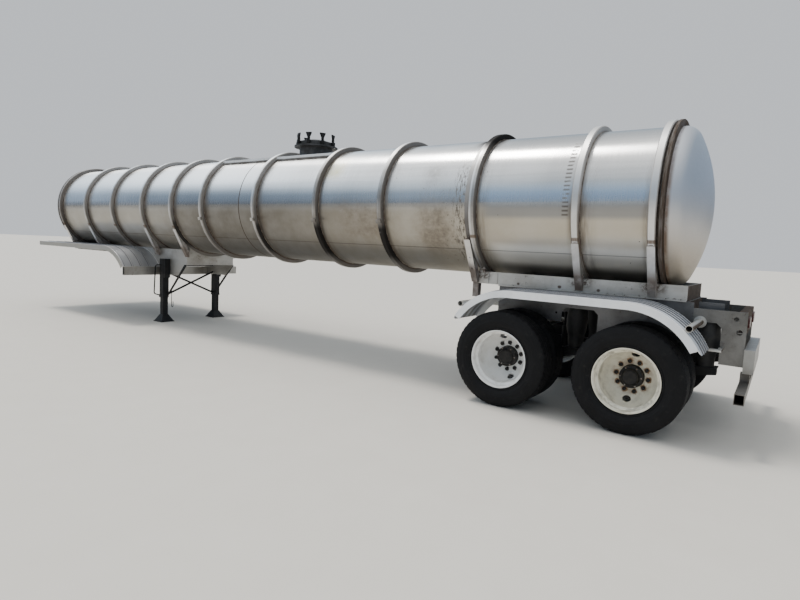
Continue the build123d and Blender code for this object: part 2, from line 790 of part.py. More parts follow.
with BuildPart() as landing_feet:
    for name, side in SIDES:
        foot_y = side * leg_y
        block(leg_x - foot_tube / 2, leg_x + foot_tube / 2, foot_y - foot_tube / 2, foot_y + foot_tube / 2,
              foot_plate, leg_bottom_z)
        with BuildSketch(Plane.XY.offset(foot_plate)):
            with Locations((leg_x, foot_y)):
                Rectangle(foot_base - 2 * foot_edge_inset, foot_base - 2 * foot_edge_inset)
        with BuildSketch(Plane.XY.offset(foot_flare_z)):
            with Locations((leg_x, foot_y)):
                Rectangle(foot_tube + 2 * foot_flare_lap, foot_tube + 2 * foot_flare_lap)
        loft()
        block(leg_x - foot_base / 2, leg_x + foot_base / 2, foot_y - foot_base / 2, foot_y + foot_base / 2,
              0.0, foot_plate)
finish(landing_feet, "landing_feet")

brace_half = brace_size / 2
brace_end_x = ahead(drop_plate_rear_ahead) + side_brace_end_inset
with BuildPart() as landing_braces:
    for step, side in ((-1, 1), (0, -1)):
        with BuildSketch(cross_plane(leg_x + step * brace_half)):
            with BuildLine():
                Polyline(
                    (side * frame_half_y, brace_low_z - brace_half),
                    (side * frame_half_y, brace_low_z + brace_half),
                    (-side * inner_face_y, brace_top_z + brace_half),
                    (-side * inner_face_y, brace_top_z - brace_half),
                    close=True,
                )
            make_face()
        extrude(amount=brace_half)
        side_polygon(
            [(leg_rear_x, brace_low_z - brace_half), (leg_rear_x, brace_low_z + brace_half),
             (brace_end_x + side_brace_end_width, side_brace_top_z), (brace_end_x, side_brace_top_z),
             (brace_end_x, side_brace_top_z - side_brace_end_depth)],
            side, frame_half_y + side_brace_thickness, side_brace_thickness)
    with BuildSketch(side_plane(frame_half_y)):
        with Locations((leg_x, cross_shaft_z)):
            Circle(cross_shaft_radius)
    extrude(amount=2 * frame_half_y)
    hook_y = frame_half_y + side_brace_thickness + hook_radius
    hook_x = ahead(hook_ahead)
    hook_top_z = hook_low_z + hook_height
    with BuildLine() as hook_path:
        FilletPolyline((hook_x, hook_y, hook_top_z), (hook_x, hook_y, hook_low_z),
                       (hook_x - hook_width, hook_y, hook_low_z),
                       (hook_x - hook_width, hook_y, hook_low_z + 2 * hook_width), radius=hook_bend)
    with BuildSketch(Plane.XY.offset(hook_top_z)):
        with Locations((hook_x, hook_y)):
            RegularPolygon(hook_radius, 8)
    sweep(path=hook_path.line)
finish(landing_braces, "landing_braces")

# Stowed crank: out of the left leg, down beside it and back in near its foot
crank_start_y = frame_half_y + leg_tube
crank_x = leg_x + crank_offset
with BuildPart() as landing_crank:
    with BuildLine() as crank_path:
        FilletPolyline(
            (crank_x, crank_start_y, crank_top_z),
            (crank_x, crank_start_y + crank_reach, crank_top_z),
            (crank_x + crank_lean, crank_start_y + crank_reach, crank_low_z),
            (crank_x, crank_start_y + crank_radius + leg_collar, crank_low_z - crank_handle_drop),
            radius=crank_bend,
        )
    with BuildSketch(side_plane(crank_start_y)):
        with Locations((crank_x, crank_top_z)):
            Circle(crank_radius)
    sweep(path=crank_path.line)
finish(landing_crank, "landing_crank")

# Rear wings: one sheet over both wheels, an arc at each end, lengthwise ribs and turned-down edges
fender_arc_z = fender_top_z - fender_arc_radius
fender_front_x, fender_rear_x = ahead(fender_front_arc_ahead), ahead(fender_rear_arc_ahead)


def fender_band(out, thickness):
    """Side view of the rear wing's sheet, or of a rib or lip on it, as a closed band."""

    def front(depth, angle):
        return on_arc(fender_front_x, fender_arc_z, fender_arc_radius + out - depth, angle)

    def rear(depth, angle):
        return on_arc(fender_rear_x, fender_arc_z, fender_arc_radius + out - depth, -angle)

    with BuildLine() as band:
        ThreePointArc(front(0, fender_front_deg), front(0, fender_front_deg / 2), front(0, 0))
        Line(front(0, 0), rear(0, 0))
        ThreePointArc(rear(0, 0), rear(0, fender_rear_deg / 2), rear(0, fender_rear_deg))
        Line(rear(0, fender_rear_deg), rear(thickness, fender_rear_deg))
        ThreePointArc(rear(thickness, fender_rear_deg), rear(thickness, fender_rear_deg / 2),
                      rear(thickness, 0))
        Line(rear(thickness, 0), front(thickness, 0))
        ThreePointArc(front(thickness, 0), front(thickness, fender_front_deg / 2),
                      front(thickness, fender_front_deg))
        Line(front(thickness, fender_front_deg), front(0, fender_front_deg))
    make_face(band.edges())


fender_ends = ((fender_front_x, fender_front_deg, 1), (fender_rear_x, fender_rear_deg, -1))
corner_radius = fender_arc_radius + 2 * sheet_rib_height
margin = fender_corner_margin
fender_ribs = rib_places(fender_inner_y + fender_rib_inner_margin, fender_outer_y - fender_rib_outer_margin,
                         fender_rib_count)
for name, side in SIDES:
    with BuildPart() as fender:
        strips = sheet_strips(fender_inner_y, fender_outer_y, fender_lip, fender_ribs)
        strips.append((fender_inner_y, fender_inner_y + lip_thickness, 0.0, fender_lip))
        for low_y, high_y, out, depth in strips:
            with BuildSketch(side_plane(high_y if side > 0 else -low_y)):
                fender_band(out, depth)
            extrude(amount=high_y - low_y)
        for arc_x, end_deg, end in fender_ends:
            corner_x, corner_z = on_arc(arc_x, fender_arc_z, corner_radius, end * end_deg)
            outward = (end * sin(radians(end_deg)), 0, cos(radians(end_deg)))
            inward = end * side
            with BuildSketch(Plane(origin=(corner_x, side * fender_outer_y, corner_z),
                                   x_dir=(0, side, 0), z_dir=outward)):
                with BuildLine():
                    flats = [(fender_corner * (sin(radians(turn)) - 1),
                              inward * fender_corner * (1 - cos(radians(turn))))
                             for turn in fender_corner_flats_deg]
                    Polyline(*flats, (margin, inward * fender_corner),
                             (margin, -inward * margin), (-fender_corner, -inward * margin),
                             close=True)
                make_face()
            extrude(amount=-(fender_lip + 4 * sheet_rib_height), mode=Mode.SUBTRACT)
    finish(fender, f"fender_{name}")

# Pipes that carry the rear wings, on top of the sheet near each end, each on a round flange
pipe_arc_radius = fender_arc_radius + sheet_rib_height + fender_pipe_radius
front_pipe = on_arc(fender_front_x, fender_arc_z, pipe_arc_radius, fender_pipe_deg)
rear_pipe = on_arc(fender_rear_x, fender_arc_z, pipe_arc_radius, -fender_pipe_deg)
stay_end_x, fender_end_z = on_arc(fender_rear_x, fender_arc_z, fender_arc_radius, -fender_rear_deg)
stay_high_z = fender_end_z - stay_gap
stay_x = ahead(end_plate_front_ahead) - stay_seat
with BuildPart() as fender_pipes:
    for name, side in SIDES:
        for pipe_x, pipe_z in (front_pipe, rear_pipe):
            side_disc(pipe_x, pipe_z, fender_pipe_flange, side, frame_half_y, bolt_head_height)
            side_disc(pipe_x, pipe_z, fender_pipe_radius, side, frame_half_y, fender_outer_y - frame_half_y)
            side_disc(pipe_x, pipe_z, fender_pipe_radius - fender_pipe_wall, side, frame_half_y,
                      fender_outer_y - frame_half_y, mode=Mode.SUBTRACT)
        block(ahead(side_plate_front_ahead), front_pipe[0] + fender_pipe_radius, side * inner_face_y,
              side * frame_half_y, front_pipe[1] - fender_pipe_flange, front_pipe[1] + fender_pipe_flange)
        block(stay_x, stay_x + stay_width, side * (frame_half_y + end_plate_doubler),
              side * (fender_inner_y + stay_outer_reach), stay_high_z - stay_height, stay_high_z)
        block(stay_x + stay_width, stay_end_x, side * (fender_inner_y - stay_inner_reach),
              side * (fender_inner_y + stay_outer_reach), stay_high_z - stay_height, stay_high_z)
finish(fender_pipes, "fender_pipes")

# Suspension frame: side plates with a notch over each air spring, cross members, hangers and spring seats
side_plate_points = (
    (side_plate_front_ahead, side_plate_top_z),
    (side_plate_front_ahead, side_plate_bottom_z + notch_corner),
    (side_plate_front_ahead - side_plate_chamfer, side_plate_bottom_z),
    (notch_front_ahead, side_plate_bottom_z),
    (notch_front_ahead, notch_top_z - notch_corner),
    (notch_front_ahead - notch_corner, notch_top_z),
    (notch_rear_ahead + notch_corner, notch_top_z),
    (notch_rear_ahead, notch_top_z - notch_corner),
    (notch_rear_ahead, side_plate_bottom_z),
    (side_plate_rear_ahead, side_plate_bottom_z),
    (side_plate_rear_ahead, side_plate_top_z),
)
with BuildPart() as suspension_frame:
    for name, side in SIDES:
        side_polygon([(ahead(x), z) for x, z in side_plate_points], side, frame_half_y, plate_thickness)
        side_disc(ahead(side_hole_ahead), side_hole_z, side_hole_radius, side, inner_face_y, plate_thickness,
                  mode=Mode.SUBTRACT)
        for axle_name, axle_ahead, hole_turn in AXLES:
            pivot_x = ahead(axle_ahead + pivot_ahead_of_axle)
            spring_x = ahead(axle_ahead - spring_behind_axle)
            for cheek in (-1, 1):
                cheek_y = side * arm_y + cheek * (arm_width / 2 + arm_side_gap)
                block(pivot_x - hanger_half, pivot_x + hanger_half, cheek_y, cheek_y + cheek * hanger_wall,
                      pivot_z - hanger_drop, side_plate_bottom_z)
            block(pivot_x - hanger_half, pivot_x + hanger_half, side * (arm_y - hanger_seat_reach),
                  side * inner_face_y, side_plate_bottom_z, side_plate_bottom_z + plate_thickness)
            block(spring_x - spring_seat_half, spring_x + spring_seat_half, side * spring_seat_inner_y,
                  side * inner_face_y, notch_top_z, notch_top_z + plate_thickness)
            block(spring_x - spring_seat_half, spring_x + spring_seat_half, side * spring_seat_inner_y,
                  side * (spring_seat_inner_y + plate_thickness), notch_top_z, side_plate_top_z)
    for member_ahead in cross_members_ahead:
        block(ahead(member_ahead), ahead(member_ahead) + cross_member_width, -inner_face_y, inner_face_y,
              side_plate_top_z - cross_member_depth, side_plate_top_z)
finish(suspension_frame, "suspension_frame")

# Rear end: deep plates behind the wheels and a channel that closes them
end_plate_points = (
    (side_plate_rear_ahead, end_plate_top_z),
    (side_plate_rear_ahead, notch_top_z),
    (end_plate_front_ahead + notch_corner, notch_top_z),
    (end_plate_front_ahead, notch_top_z - notch_corner),
    (end_plate_front_ahead, end_plate_bottom_z),
    (end_plate_rear_ahead, end_plate_bottom_z),
    (end_plate_rear_ahead, end_plate_top_z),
)
end_plate_x = ahead(end_plate_rear_ahead)
channel_bottom_z = end_plate_top_z - channel_depth
with BuildPart() as rear_end_frame:
    for name, side in SIDES:
        side_polygon([(ahead(x), z) for x, z in end_plate_points], side, frame_half_y, plate_thickness)
        for hole_ahead, hole_z, hole_radius in end_plate_holes:
            side_disc(ahead(hole_ahead), hole_z, hole_radius, side, inner_face_y, plate_thickness,
                      mode=Mode.SUBTRACT)
        for bolt_ahead, bolt_z in end_plate_bolts:
            side_disc(ahead(bolt_ahead), bolt_z, bolt_head_height, side, frame_half_y, bolt_head_height / 2)
        block(end_plate_x, ahead(end_plate_front_ahead), side * frame_half_y,
              side * (frame_half_y + end_plate_doubler), end_plate_bottom_z, end_plate_seam_z)
    block(end_plate_x, end_plate_x + channel_wall, -inner_face_y, inner_face_y, channel_bottom_z,
          end_plate_top_z)
    for shelf_z in (channel_bottom_z, end_plate_top_z - channel_wall):
        block(end_plate_x, end_plate_x + channel_flange, -inner_face_y, inner_face_y,
              shelf_z, shelf_z + channel_wall)
finish(rear_end_frame, "rear_end_frame")

with BuildPart() as bumper_beam:
    box_tube(end_plate_x - bumper_depth, end_plate_x, -bumper_half_y, bumper_half_y,
             bumper_bottom_z, bumper_top_z, bumper_wall)
    for name, side in SIDES:
        block(end_plate_x - bumper_depth, end_plate_x, side * (bumper_half_y - bumper_wall),
              side * bumper_half_y, bumper_bottom_z, bumper_top_z)
finish(bumper_beam, "bumper_beam")

guard_rear_x = end_plate_x - bumper_depth + guard_inset
with BuildPart() as underride_guard:
    box_tube(guard_rear_x, guard_rear_x + guard_depth, -guard_half_y, guard_half_y,
             guard_bottom_z, guard_top_z, guard_wall)
    for name, side in SIDES:
        block(guard_rear_x, guard_rear_x + guard_depth, side * guard_post_y - guard_depth / 2,
              side * guard_post_y + guard_depth / 2, guard_top_z, bumper_bottom_z)
finish(underride_guard, "underride_guard")

# Tail lamps on the rear channel
lamp_z = end_plate_top_z - channel_depth / 2
with BuildPart() as tail_lamps:
    with BuildSketch(cross_plane(end_plate_x - lamp_depth)):
        with Locations(*[(side * y, lamp_z) for y in lamp_places_y for name, side in SIDES]):
            Circle(lamp_radius)
    extrude(amount=lamp_depth)
finish(tail_lamps, "tail_lamps")

# Axles: tube, tapered end, spindle and brake shield
with BuildPart() as axles:
    for axle_name, axle_ahead, hole_turn in AXLES:
        axle_x = ahead(axle_ahead)
        for name, side in SIDES:
            with BuildSketch(Plane(origin=(axle_x, 0, axle_z), x_dir=(0, side, 0), z_dir=(side, 0, 0))):
                with BuildLine():
                    Polyline(
                        (0, 0),
                        (0, axle_tube_radius),
                        (axle_tube_half, axle_tube_radius),
                        (axle_tube_half, shield_radius),
                        (axle_tube_half + shield_thickness, shield_radius),
                        (axle_tube_half + shield_thickness, axle_tube_radius),
                        (axle_tube_half + axle_taper, spindle_radius),
                        (spindle_end_y, spindle_radius),
                        (spindle_end_y, 0),
                        close=True,
                    )
                make_face()
            revolve(axis=Axis((axle_x, 0, axle_z), (0, 1, 0)))
finish(axles, "axles")

# Trailing arms from the hangers over the axles to the air springs, with pivot bolts and dampers
arm_outline = (
    (pivot_ahead_of_axle + arm_eye_reach, pivot_z + arm_eye_half),
    (pivot_ahead_of_axle + arm_eye_reach, pivot_z - arm_eye_half),
    (arm_boss_half, axle_z - arm_boss_drop),
    (-arm_boss_half, axle_z - arm_boss_drop),
    (-spring_behind_axle + arm_tail_depth, spring_seat_z - arm_boss_drop),
    (-spring_behind_axle - spring_seat_half, spring_seat_z - arm_tail_depth),
    (-spring_behind_axle - spring_seat_half, spring_seat_z),
    (-spring_behind_axle + spring_seat_half, spring_seat_z),
    (-arm_boss_half, axle_z + arm_boss_rise),
    (arm_boss_half, axle_z + arm_boss_rise),
)
with BuildPart() as suspension_arms:
    for axle_name, axle_ahead, hole_turn in AXLES:
        axle_x = ahead(axle_ahead)
        for name, side in SIDES:
            with BuildSketch(side_plane(side * arm_y + arm_width / 2)):
                with BuildLine():
                    Polyline(*[(axle_x + x, z) for x, z in arm_outline], close=True)
                make_face()
                with Locations((axle_x, axle_z)):
                    Circle(axle_tube_radius, mode=Mode.SUBTRACT)
            extrude(amount=arm_width)
            side_disc(axle_x + pivot_ahead_of_axle, pivot_z, pivot_radius, side,
                      arm_y + arm_width / 2 + arm_side_gap + hanger_wall, pivot_bolt_height)
            spring_x = axle_x - spring_behind_axle
            block(spring_x - spring_seat_half, spring_x + spring_seat_half, side * spring_seat_inner_y,
                  side * arm_y, spring_seat_z - plate_thickness, spring_seat_z)
            damper_x = axle_x - damper_behind_axle
            block(damper_x - damper_bracket_half, damper_x + damper_bracket_half,
                  side * (damper_y - damper_bracket_half), side * (arm_y - arm_width / 2),
                  axle_z - 2 * damper_bracket_half, axle_z)
            upright_disc(damper_x, side * damper_y, axle_z, damper_radius, damper_length)
            upright_disc(damper_x, side * damper_y, axle_z + damper_length, damper_radius / 2,
                         damper_rod_length)
finish(suspension_arms, "suspension_arms")

# Air springs: a bellows on its piston
spring_crown_z = notch_top_z - spring_crown_height
flare_radius = spring_piston_radius + spring_piston_flare
with BuildPart() as air_springs:
    for axle_name, axle_ahead, hole_turn in AXLES:
        spring_x = ahead(axle_ahead - spring_behind_axle)
        for name, side in SIDES:
            with BuildSketch(Plane(origin=(spring_x, side * spring_y, 0), x_dir=(1, 0, 0), z_dir=(0, -1, 0))):
                with BuildLine():
                    Polyline((0, spring_seat_z), (spring_piston_radius, spring_seat_z),
                             (flare_radius, spring_seat_z + spring_piston_height),
                             (spring_neck_radius, spring_seat_z + spring_roll_height))
                    ThreePointArc((spring_neck_radius, spring_seat_z + spring_roll_height),
                                  (spring_radius, spring_seat_z + spring_belly_height),
                                  (spring_neck_radius, spring_crown_z))
                    Polyline((spring_neck_radius, spring_crown_z), (spring_neck_radius, notch_top_z),
                             (0, notch_top_z), (0, spring_seat_z))
                make_face()
            revolve(axis=Axis((spring_x, side * spring_y, 0), (0, 0, 1)))
finish(air_springs, "air_springs")

# Brake chambers on the axle tubes
with BuildPart() as brake_chambers:
    for axle_name, axle_ahead, hole_turn in AXLES:
        for name, side in SIDES:
            chamber_x = ahead(axle_ahead) + axle_tube_radius
            bracket_half = chamber_bracket_half
            block(chamber_x, chamber_x + chamber_bracket_length, side * chamber_y - bracket_half,
                  side * chamber_y + bracket_half, axle_z - bracket_half, axle_z + bracket_half)
            with BuildSketch(cross_plane(chamber_x + chamber_bracket_length)):
                with Locations((side * chamber_y, axle_z)):
                    Circle(chamber_radius)
            extrude(amount=chamber_length)
finish(brake_chambers, "brake_chambers")

# Overturn rails: an upright with a top flange each side, between the rings round the manway
overturn_top_z = tank_axis_z + sqrt(ring_radius**2 - overturn_y**2) - ring_edge
with BuildPart() as overturn_rails:
    for rear_ahead, front_ahead in overturn_bays:
        bay_length = front_ahead - rear_ahead - ring_width
        with BuildSketch(cross_plane(ahead(rear_ahead) + ring_width / 2)):
            for name, side in SIDES:
                upright_y = side * (overturn_y - overturn_wall / 2)
                flange_y = side * (overturn_y - overturn_flange / 2)
                with Locations((upright_y, overturn_top_z - overturn_depth / 2)):
                    Rectangle(overturn_wall, overturn_depth)
                with Locations((flange_y, overturn_top_z - overturn_wall / 2)):
                    Rectangle(overturn_flange, overturn_wall)
            with Locations((0, tank_axis_z)):
                Circle(shell_radius, mode=Mode.SUBTRACT)
        extrude(amount=bay_length)
finish(overturn_rails, "overturn_rails")

# Manway: neck and collar on the barrel, with the ears and pin of the lid's hinge
manway_x = ahead(manway_ahead)
neck_bottom_z = tank_axis_z + shell_radius - manway_neck_drop
collar_top_z = manway_collar_z + manway_collar_thickness
hinge_y = -(lid_radius + hinge_reach)
hinge_z = collar_top_z + hinge_rise
with BuildPart() as manway_neck:
    upright_disc(manway_x, 0, neck_bottom_z, manway_bore_radius + manway_wall, collar_top_z - neck_bottom_z)
    upright_disc(manway_x, 0, manway_collar_z, manway_collar_radius, manway_collar_thickness)
    with BuildSketch(cross_plane(manway_x - manway_collar_radius)):
        with Locations((0, tank_axis_z)):
            Circle(shell_radius)
    extrude(amount=2 * manway_collar_radius, mode=Mode.SUBTRACT)
    upright_disc(manway_x, 0, neck_bottom_z, manway_bore_radius, 2 * (collar_top_z - neck_bottom_z),
                 mode=Mode.SUBTRACT)
    for step in (-1, 1):
        ear_x = manway_x + step * hinge_ear_spread
        block(ear_x - hinge_ear_width / 2, ear_x + hinge_ear_width / 2, hinge_y - hinge_ear_half,
              hinge_y + hinge_ear_half, collar_top_z, hinge_z + hinge_ear_crown)
    with BuildSketch(cross_plane(manway_x - hinge_ear_spread)):
        with Locations((hinge_y, hinge_z)):
            Circle(knuckle_pin_radius)
    extrude(amount=2 * hinge_ear_spread)
finish(manway_neck, "manway_neck")

# Manway lid: shallow domed cap with a skirt, and its hinge arm and knuckle
lid_bottom_z = collar_top_z + lid_gap
with BuildPart() as manway_lid:
    upright_disc(manway_x, 0, lid_bottom_z, lid_radius, lid_skirt)
    with BuildSketch(Plane.XY.offset(lid_bottom_z + lid_skirt)):
        with Locations((manway_x, 0)):
            Circle(lid_radius - lid_edge_inset)
    extrude(amount=lid_crown, taper=lid_crown_slope)
    upright_disc(manway_x, 0, lid_bottom_z, lid_radius - lid_wall, lid_skirt - lid_wall, mode=Mode.SUBTRACT)
    block(manway_x - hinge_arm_half_width, manway_x + hinge_arm_half_width, hinge_y,
          -(lid_radius - lid_wall / 2), hinge_z - hinge_arm_half_height, hinge_z + hinge_arm_half_height)
    with BuildSketch(cross_plane(manway_x - knuckle_half)):
        with Locations((hinge_y, hinge_z)):
            Circle(knuckle_radius)
    extrude(amount=2 * knuckle_half)
    with BuildSketch(cross_plane(manway_x - knuckle_half)):
        with Locations((hinge_y, hinge_z)):
            Circle(knuckle_pin_radius + running_clearance)
    extrude(amount=2 * knuckle_half, mode=Mode.SUBTRACT)
finish(manway_lid, "manway_lid")

# Screw clamps: an upright screw with its dog on the collar's rim and a T bar on top
with BuildPart() as manway_clamps:
    for index in range(clamp_count):
        turn = clamp_first_deg + (clamp_last_deg - clamp_first_deg) * index / (clamp_count - 1)
        spot = (manway_x + clamp_circle * cos(radians(turn)), clamp_circle * sin(radians(turn)))
        screw_top_z = lid_bottom_z + lid_skirt + clamp_rise
        upright_disc(*spot, collar_top_z, clamp_screw_radius, screw_top_z - collar_top_z)
        upright_disc(*spot, lid_bottom_z + lid_skirt - clamp_dog_height / 2,
                     clamp_screw_radius + clamp_dog_lap, clamp_dog_height)
        with BuildSketch(Plane.XY.offset(screw_top_z)):
            with Locations(Location((*spot, 0), (0, 0, turn + 90.0))):
                Rectangle(clamp_bar_length, clamp_bar_size)
        extrude(amount=clamp_bar_size)
finish(manway_clamps, "manway_clamps")

# Outlet: sump under the barrel, valve, and a pipe to the rear with a capped end
outlet_x = ahead(outlet_ahead)
with BuildPart() as outlet_pipe:
    with BuildLine() as outlet_path:
        FilletPolyline(
            (outlet_x, 0, tank_bottom_z),
            (outlet_x, 0, outlet_z),
            (ahead(outlet_end_ahead), 0, outlet_z),
            radius=outlet_bend,
        )
    with BuildSketch(Plane.XY.offset(tank_bottom_z)):
        with Locations((outlet_x, 0)):
            Circle(outlet_radius)
    sweep(path=outlet_path.line)
    upright_disc(outlet_x, 0, tank_bottom_z - outlet_flange_drop, outlet_flange_radius, outlet_flange_height)
    upright_disc(outlet_x, 0, tank_bottom_z - valve_drop, valve_radius, valve_height)
    with BuildSketch(cross_plane(ahead(outlet_end_ahead))):
        with Locations((0, outlet_z)):
            Circle(outlet_radius + outlet_cap_lap)
    extrude(amount=outlet_cap_depth)
finish(outlet_pipe, "outlet_pipe")


# Wheels: two disc wheels bolted back to back on one hub, each with its tyre
def radial_plane(x, y, outboard):
    """Plane through an axle's line: local x runs outboard from y, local y is the radius."""
    return Plane(origin=(x, y, axle_z), x_dir=(0, outboard, 0), z_dir=(outboard, 0, 0))


def tyre_section():
    """Tyre outline above the rim's bead seats."""
    seat = rim_seat_radius + bead_clearance
    bead = rim_half_width - rim_bead_inset
    bead_top = rim_flange_radius + tyre_flange_gap
    shoulder = (tyre_tread_half + tyre_shoulder_width, tyre_radius - tyre_shoulder)
    far_shoulder = (-shoulder[0], shoulder[1])
    belly = (rim_seat_radius + tyre_radius) / 2
    with BuildLine() as outline:
        Polyline((-bead, bead_top), (-bead, seat), (bead, seat), (bead, bead_top))
        ThreePointArc((bead, bead_top), (tyre_half_width, belly), shoulder)
        Polyline(shoulder, (tyre_tread_half, tyre_radius), (-tyre_tread_half, tyre_radius), far_shoulder)
        ThreePointArc(far_shoulder, (-tyre_half_width, belly), (-bead, bead_top))
    make_face(outline.edges())


def rim_section(face):
    """Rim and dished disc of one wheel, its bolting face at local x = face."""
    seat, wall, half, lip = rim_seat_radius, rim_wall, rim_half_width, rim_flange_radius
    well = seat - rim_well_depth
    bead = half - rim_bead_inset
    toe = bead + rim_toe_width
    ledge, trough = rim_ledge_half, rim_well_half
    with BuildLine() as rim:
        Polyline(
            (half, lip), (half - rim_flange_width, lip), (toe, seat + rim_toe_rise), (bead, seat),
            (ledge, seat), (trough, well), (-trough, well), (-ledge, seat), (-bead, seat),
            (-toe, seat + rim_toe_rise), (rim_flange_width - half, lip), (-half, lip),
            (-half, seat + rim_flange_foot),
            (rim_flange_run - half, seat - wall), (-ledge - rim_slope_lap, seat - wall),
            (-trough - rim_slope_lap, well - wall), (trough + rim_slope_lap, well - wall),
            (ledge + rim_slope_lap, seat - wall), (half - rim_flange_run, seat - wall),
            (half, seat + rim_flange_foot), close=True,
        )
    make_face(rim.edges())
    back = face + disc_thickness
    front_bend, back_bend = disc_flange_radius + disc_bend_shift, disc_flange_radius - disc_bend_shift
    front_swell = (face + disc_front_swell[0], disc_front_swell[1])
    back_swell = (face + disc_back_swell[0], disc_back_swell[1])
    root_front, root_back = (-trough, well - wall), (disc_root_width - trough, well - wall)
    with BuildLine() as disc:
        Line((face, disc_bore_radius), (face, front_bend))
        ThreePointArc((face, front_bend), front_swell, root_front)
        Line(root_front, root_back)
        ThreePointArc(root_back, back_swell, (back, back_bend))
        Polyline((back, back_bend), (back, disc_bore_radius), (face, disc_bore_radius))
    make_face(disc.edges())


wheel_face = -dual_spacing / 2
nut_base_y = dual_centre_y + disc_thickness
for axle_name, axle_ahead, hole_turn in AXLES:
    axle_x = ahead(axle_ahead)
    spin = Axis((axle_x, 0, axle_z), (0, 1, 0))
    for name, side in SIDES:
        pair = [(side * (dual_centre_y + step * dual_spacing / 2), step * side) for step in (1, -1)]
        with BuildPart() as tyres:
            for centre_y, outboard in pair:
                with BuildSketch(radial_plane(axle_x, centre_y, outboard)):
                    tyre_section()
                revolve(axis=spin)
        finish(tyres, f"tires_{axle_name}_{name}")

        with BuildPart() as wheel_discs:
            for centre_y, outboard in pair:
                with BuildSketch(radial_plane(axle_x, centre_y, outboard)):
                    rim_section(wheel_face)
                revolve(axis=spin)
            with BuildSketch(Plane(origin=(axle_x, side * (dual_centre_y + dual_spacing), axle_z),
                                   x_dir=(1, 0, 0), z_dir=(0, side, 0))):
                with PolarLocations(hand_hole_circle, 2, start_angle=-90.0 * side + hole_turn):
                    Ellipse(hand_hole_wide / 2, hand_hole_long / 2)
            extrude(amount=-2 * dual_spacing, mode=Mode.SUBTRACT)
        finish(wheel_discs, f"wheel_discs_{axle_name}_{name}")

        with BuildPart() as hub:
            flange_y = dual_centre_y - disc_thickness
            drum_bore = drum_radius - drum_wall
            bore = spindle_radius + running_clearance
            bore_end_y = spindle_end_y + spindle_end_gap
            core_y = drum_inner_y + hub_core_setback
            cap_y = hub_end_y + hub_cap_depth
            with BuildSketch(radial_plane(axle_x, 0, side)):
                with BuildLine():
                    Polyline(
                        (bore_end_y, 0), (bore_end_y, bore), (core_y, bore),
                        (core_y, hub_core_radius), (flange_y - hub_web_setback, hub_core_radius),
                        (drum_outer_y - drum_wall, drum_bore - hub_web_drop), (drum_inner_y, drum_bore),
                        (drum_inner_y, drum_radius), (drum_outer_y, drum_radius),
                        (flange_y - hub_flange_thickness, hub_flange_radius - hub_flange_lip),
                        (flange_y - hub_flange_thickness, hub_flange_radius), (flange_y, hub_flange_radius),
                        (flange_y, hub_barrel_radius), (hub_end_y, hub_barrel_radius),
                        (hub_end_y + hub_cap_edge, hub_cap_radius),
                        (cap_y - hub_cap_bevel, hub_cap_radius - hub_cap_taper),
                        (cap_y, hub_cap_radius - hub_cap_crown_inset), (cap_y, 0),
                        close=True,
                    )
                make_face()
            revolve(axis=spin)
            stud_plane = Plane(origin=(axle_x, side * nut_base_y, axle_z),
                               x_dir=(1, 0, 0), z_dir=(0, side, 0))
            with BuildSketch(stud_plane):
                with PolarLocations(stud_circle, stud_count, start_angle=hole_turn):
                    RegularPolygon(nut_radius, 6)
            extrude(amount=nut_height)
            with BuildSketch(stud_plane.offset(nut_height)):
                with PolarLocations(stud_circle, stud_count, start_angle=hole_turn):
                    RegularPolygon(stud_tip_radius, 8)
            extrude(amount=stud_tip_height)
        finish(hub, f"hub_{axle_name}_{name}")
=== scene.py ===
"""Looks of a tank semi-trailer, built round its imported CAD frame. Metres, in the CAD's own frame."""

import json
import math

import bmesh
import bpy
from mathutils import Matrix, Vector


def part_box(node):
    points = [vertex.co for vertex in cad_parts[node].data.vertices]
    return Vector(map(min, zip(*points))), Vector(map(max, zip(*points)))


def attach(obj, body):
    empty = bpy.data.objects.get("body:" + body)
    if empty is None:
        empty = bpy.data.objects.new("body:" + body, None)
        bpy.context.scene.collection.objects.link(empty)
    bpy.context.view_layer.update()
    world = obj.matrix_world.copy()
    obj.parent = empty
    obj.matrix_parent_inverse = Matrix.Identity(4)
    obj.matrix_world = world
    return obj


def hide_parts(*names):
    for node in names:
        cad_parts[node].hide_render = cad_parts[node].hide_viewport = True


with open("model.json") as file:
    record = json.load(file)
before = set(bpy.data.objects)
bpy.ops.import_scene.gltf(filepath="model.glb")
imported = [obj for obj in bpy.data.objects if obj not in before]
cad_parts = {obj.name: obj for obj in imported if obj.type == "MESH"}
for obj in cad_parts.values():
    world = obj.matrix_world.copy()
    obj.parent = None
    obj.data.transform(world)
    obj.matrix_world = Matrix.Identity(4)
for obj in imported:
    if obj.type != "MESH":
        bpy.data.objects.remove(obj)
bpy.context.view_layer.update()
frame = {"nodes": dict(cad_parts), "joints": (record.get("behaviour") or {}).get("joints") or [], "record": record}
NODES = frame["nodes"]
SPINS = {joint["child"]: Vector(joint["pos_m"])
         for joint in frame["joints"] if joint["name"].startswith("spin")}

# Each rolling wheel set as its body, the middle of its axle line, front or rear, and left or right
WHEEL_SETS = [(body, axle, *body.split("_")[1:]) for body, axle in SPINS.items()]

# Places read from the frame: the tank's axis and radius, and the overturn rails' top. The typed ones below
# follow the CAD too
shell_low, shell_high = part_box("tank_barrel")
TANK_Z = (shell_low.z + shell_high.z) / 2
TANK_R = (shell_high.z - shell_low.z) / 2
RAIL_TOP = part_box("overturn_rails")[1].z

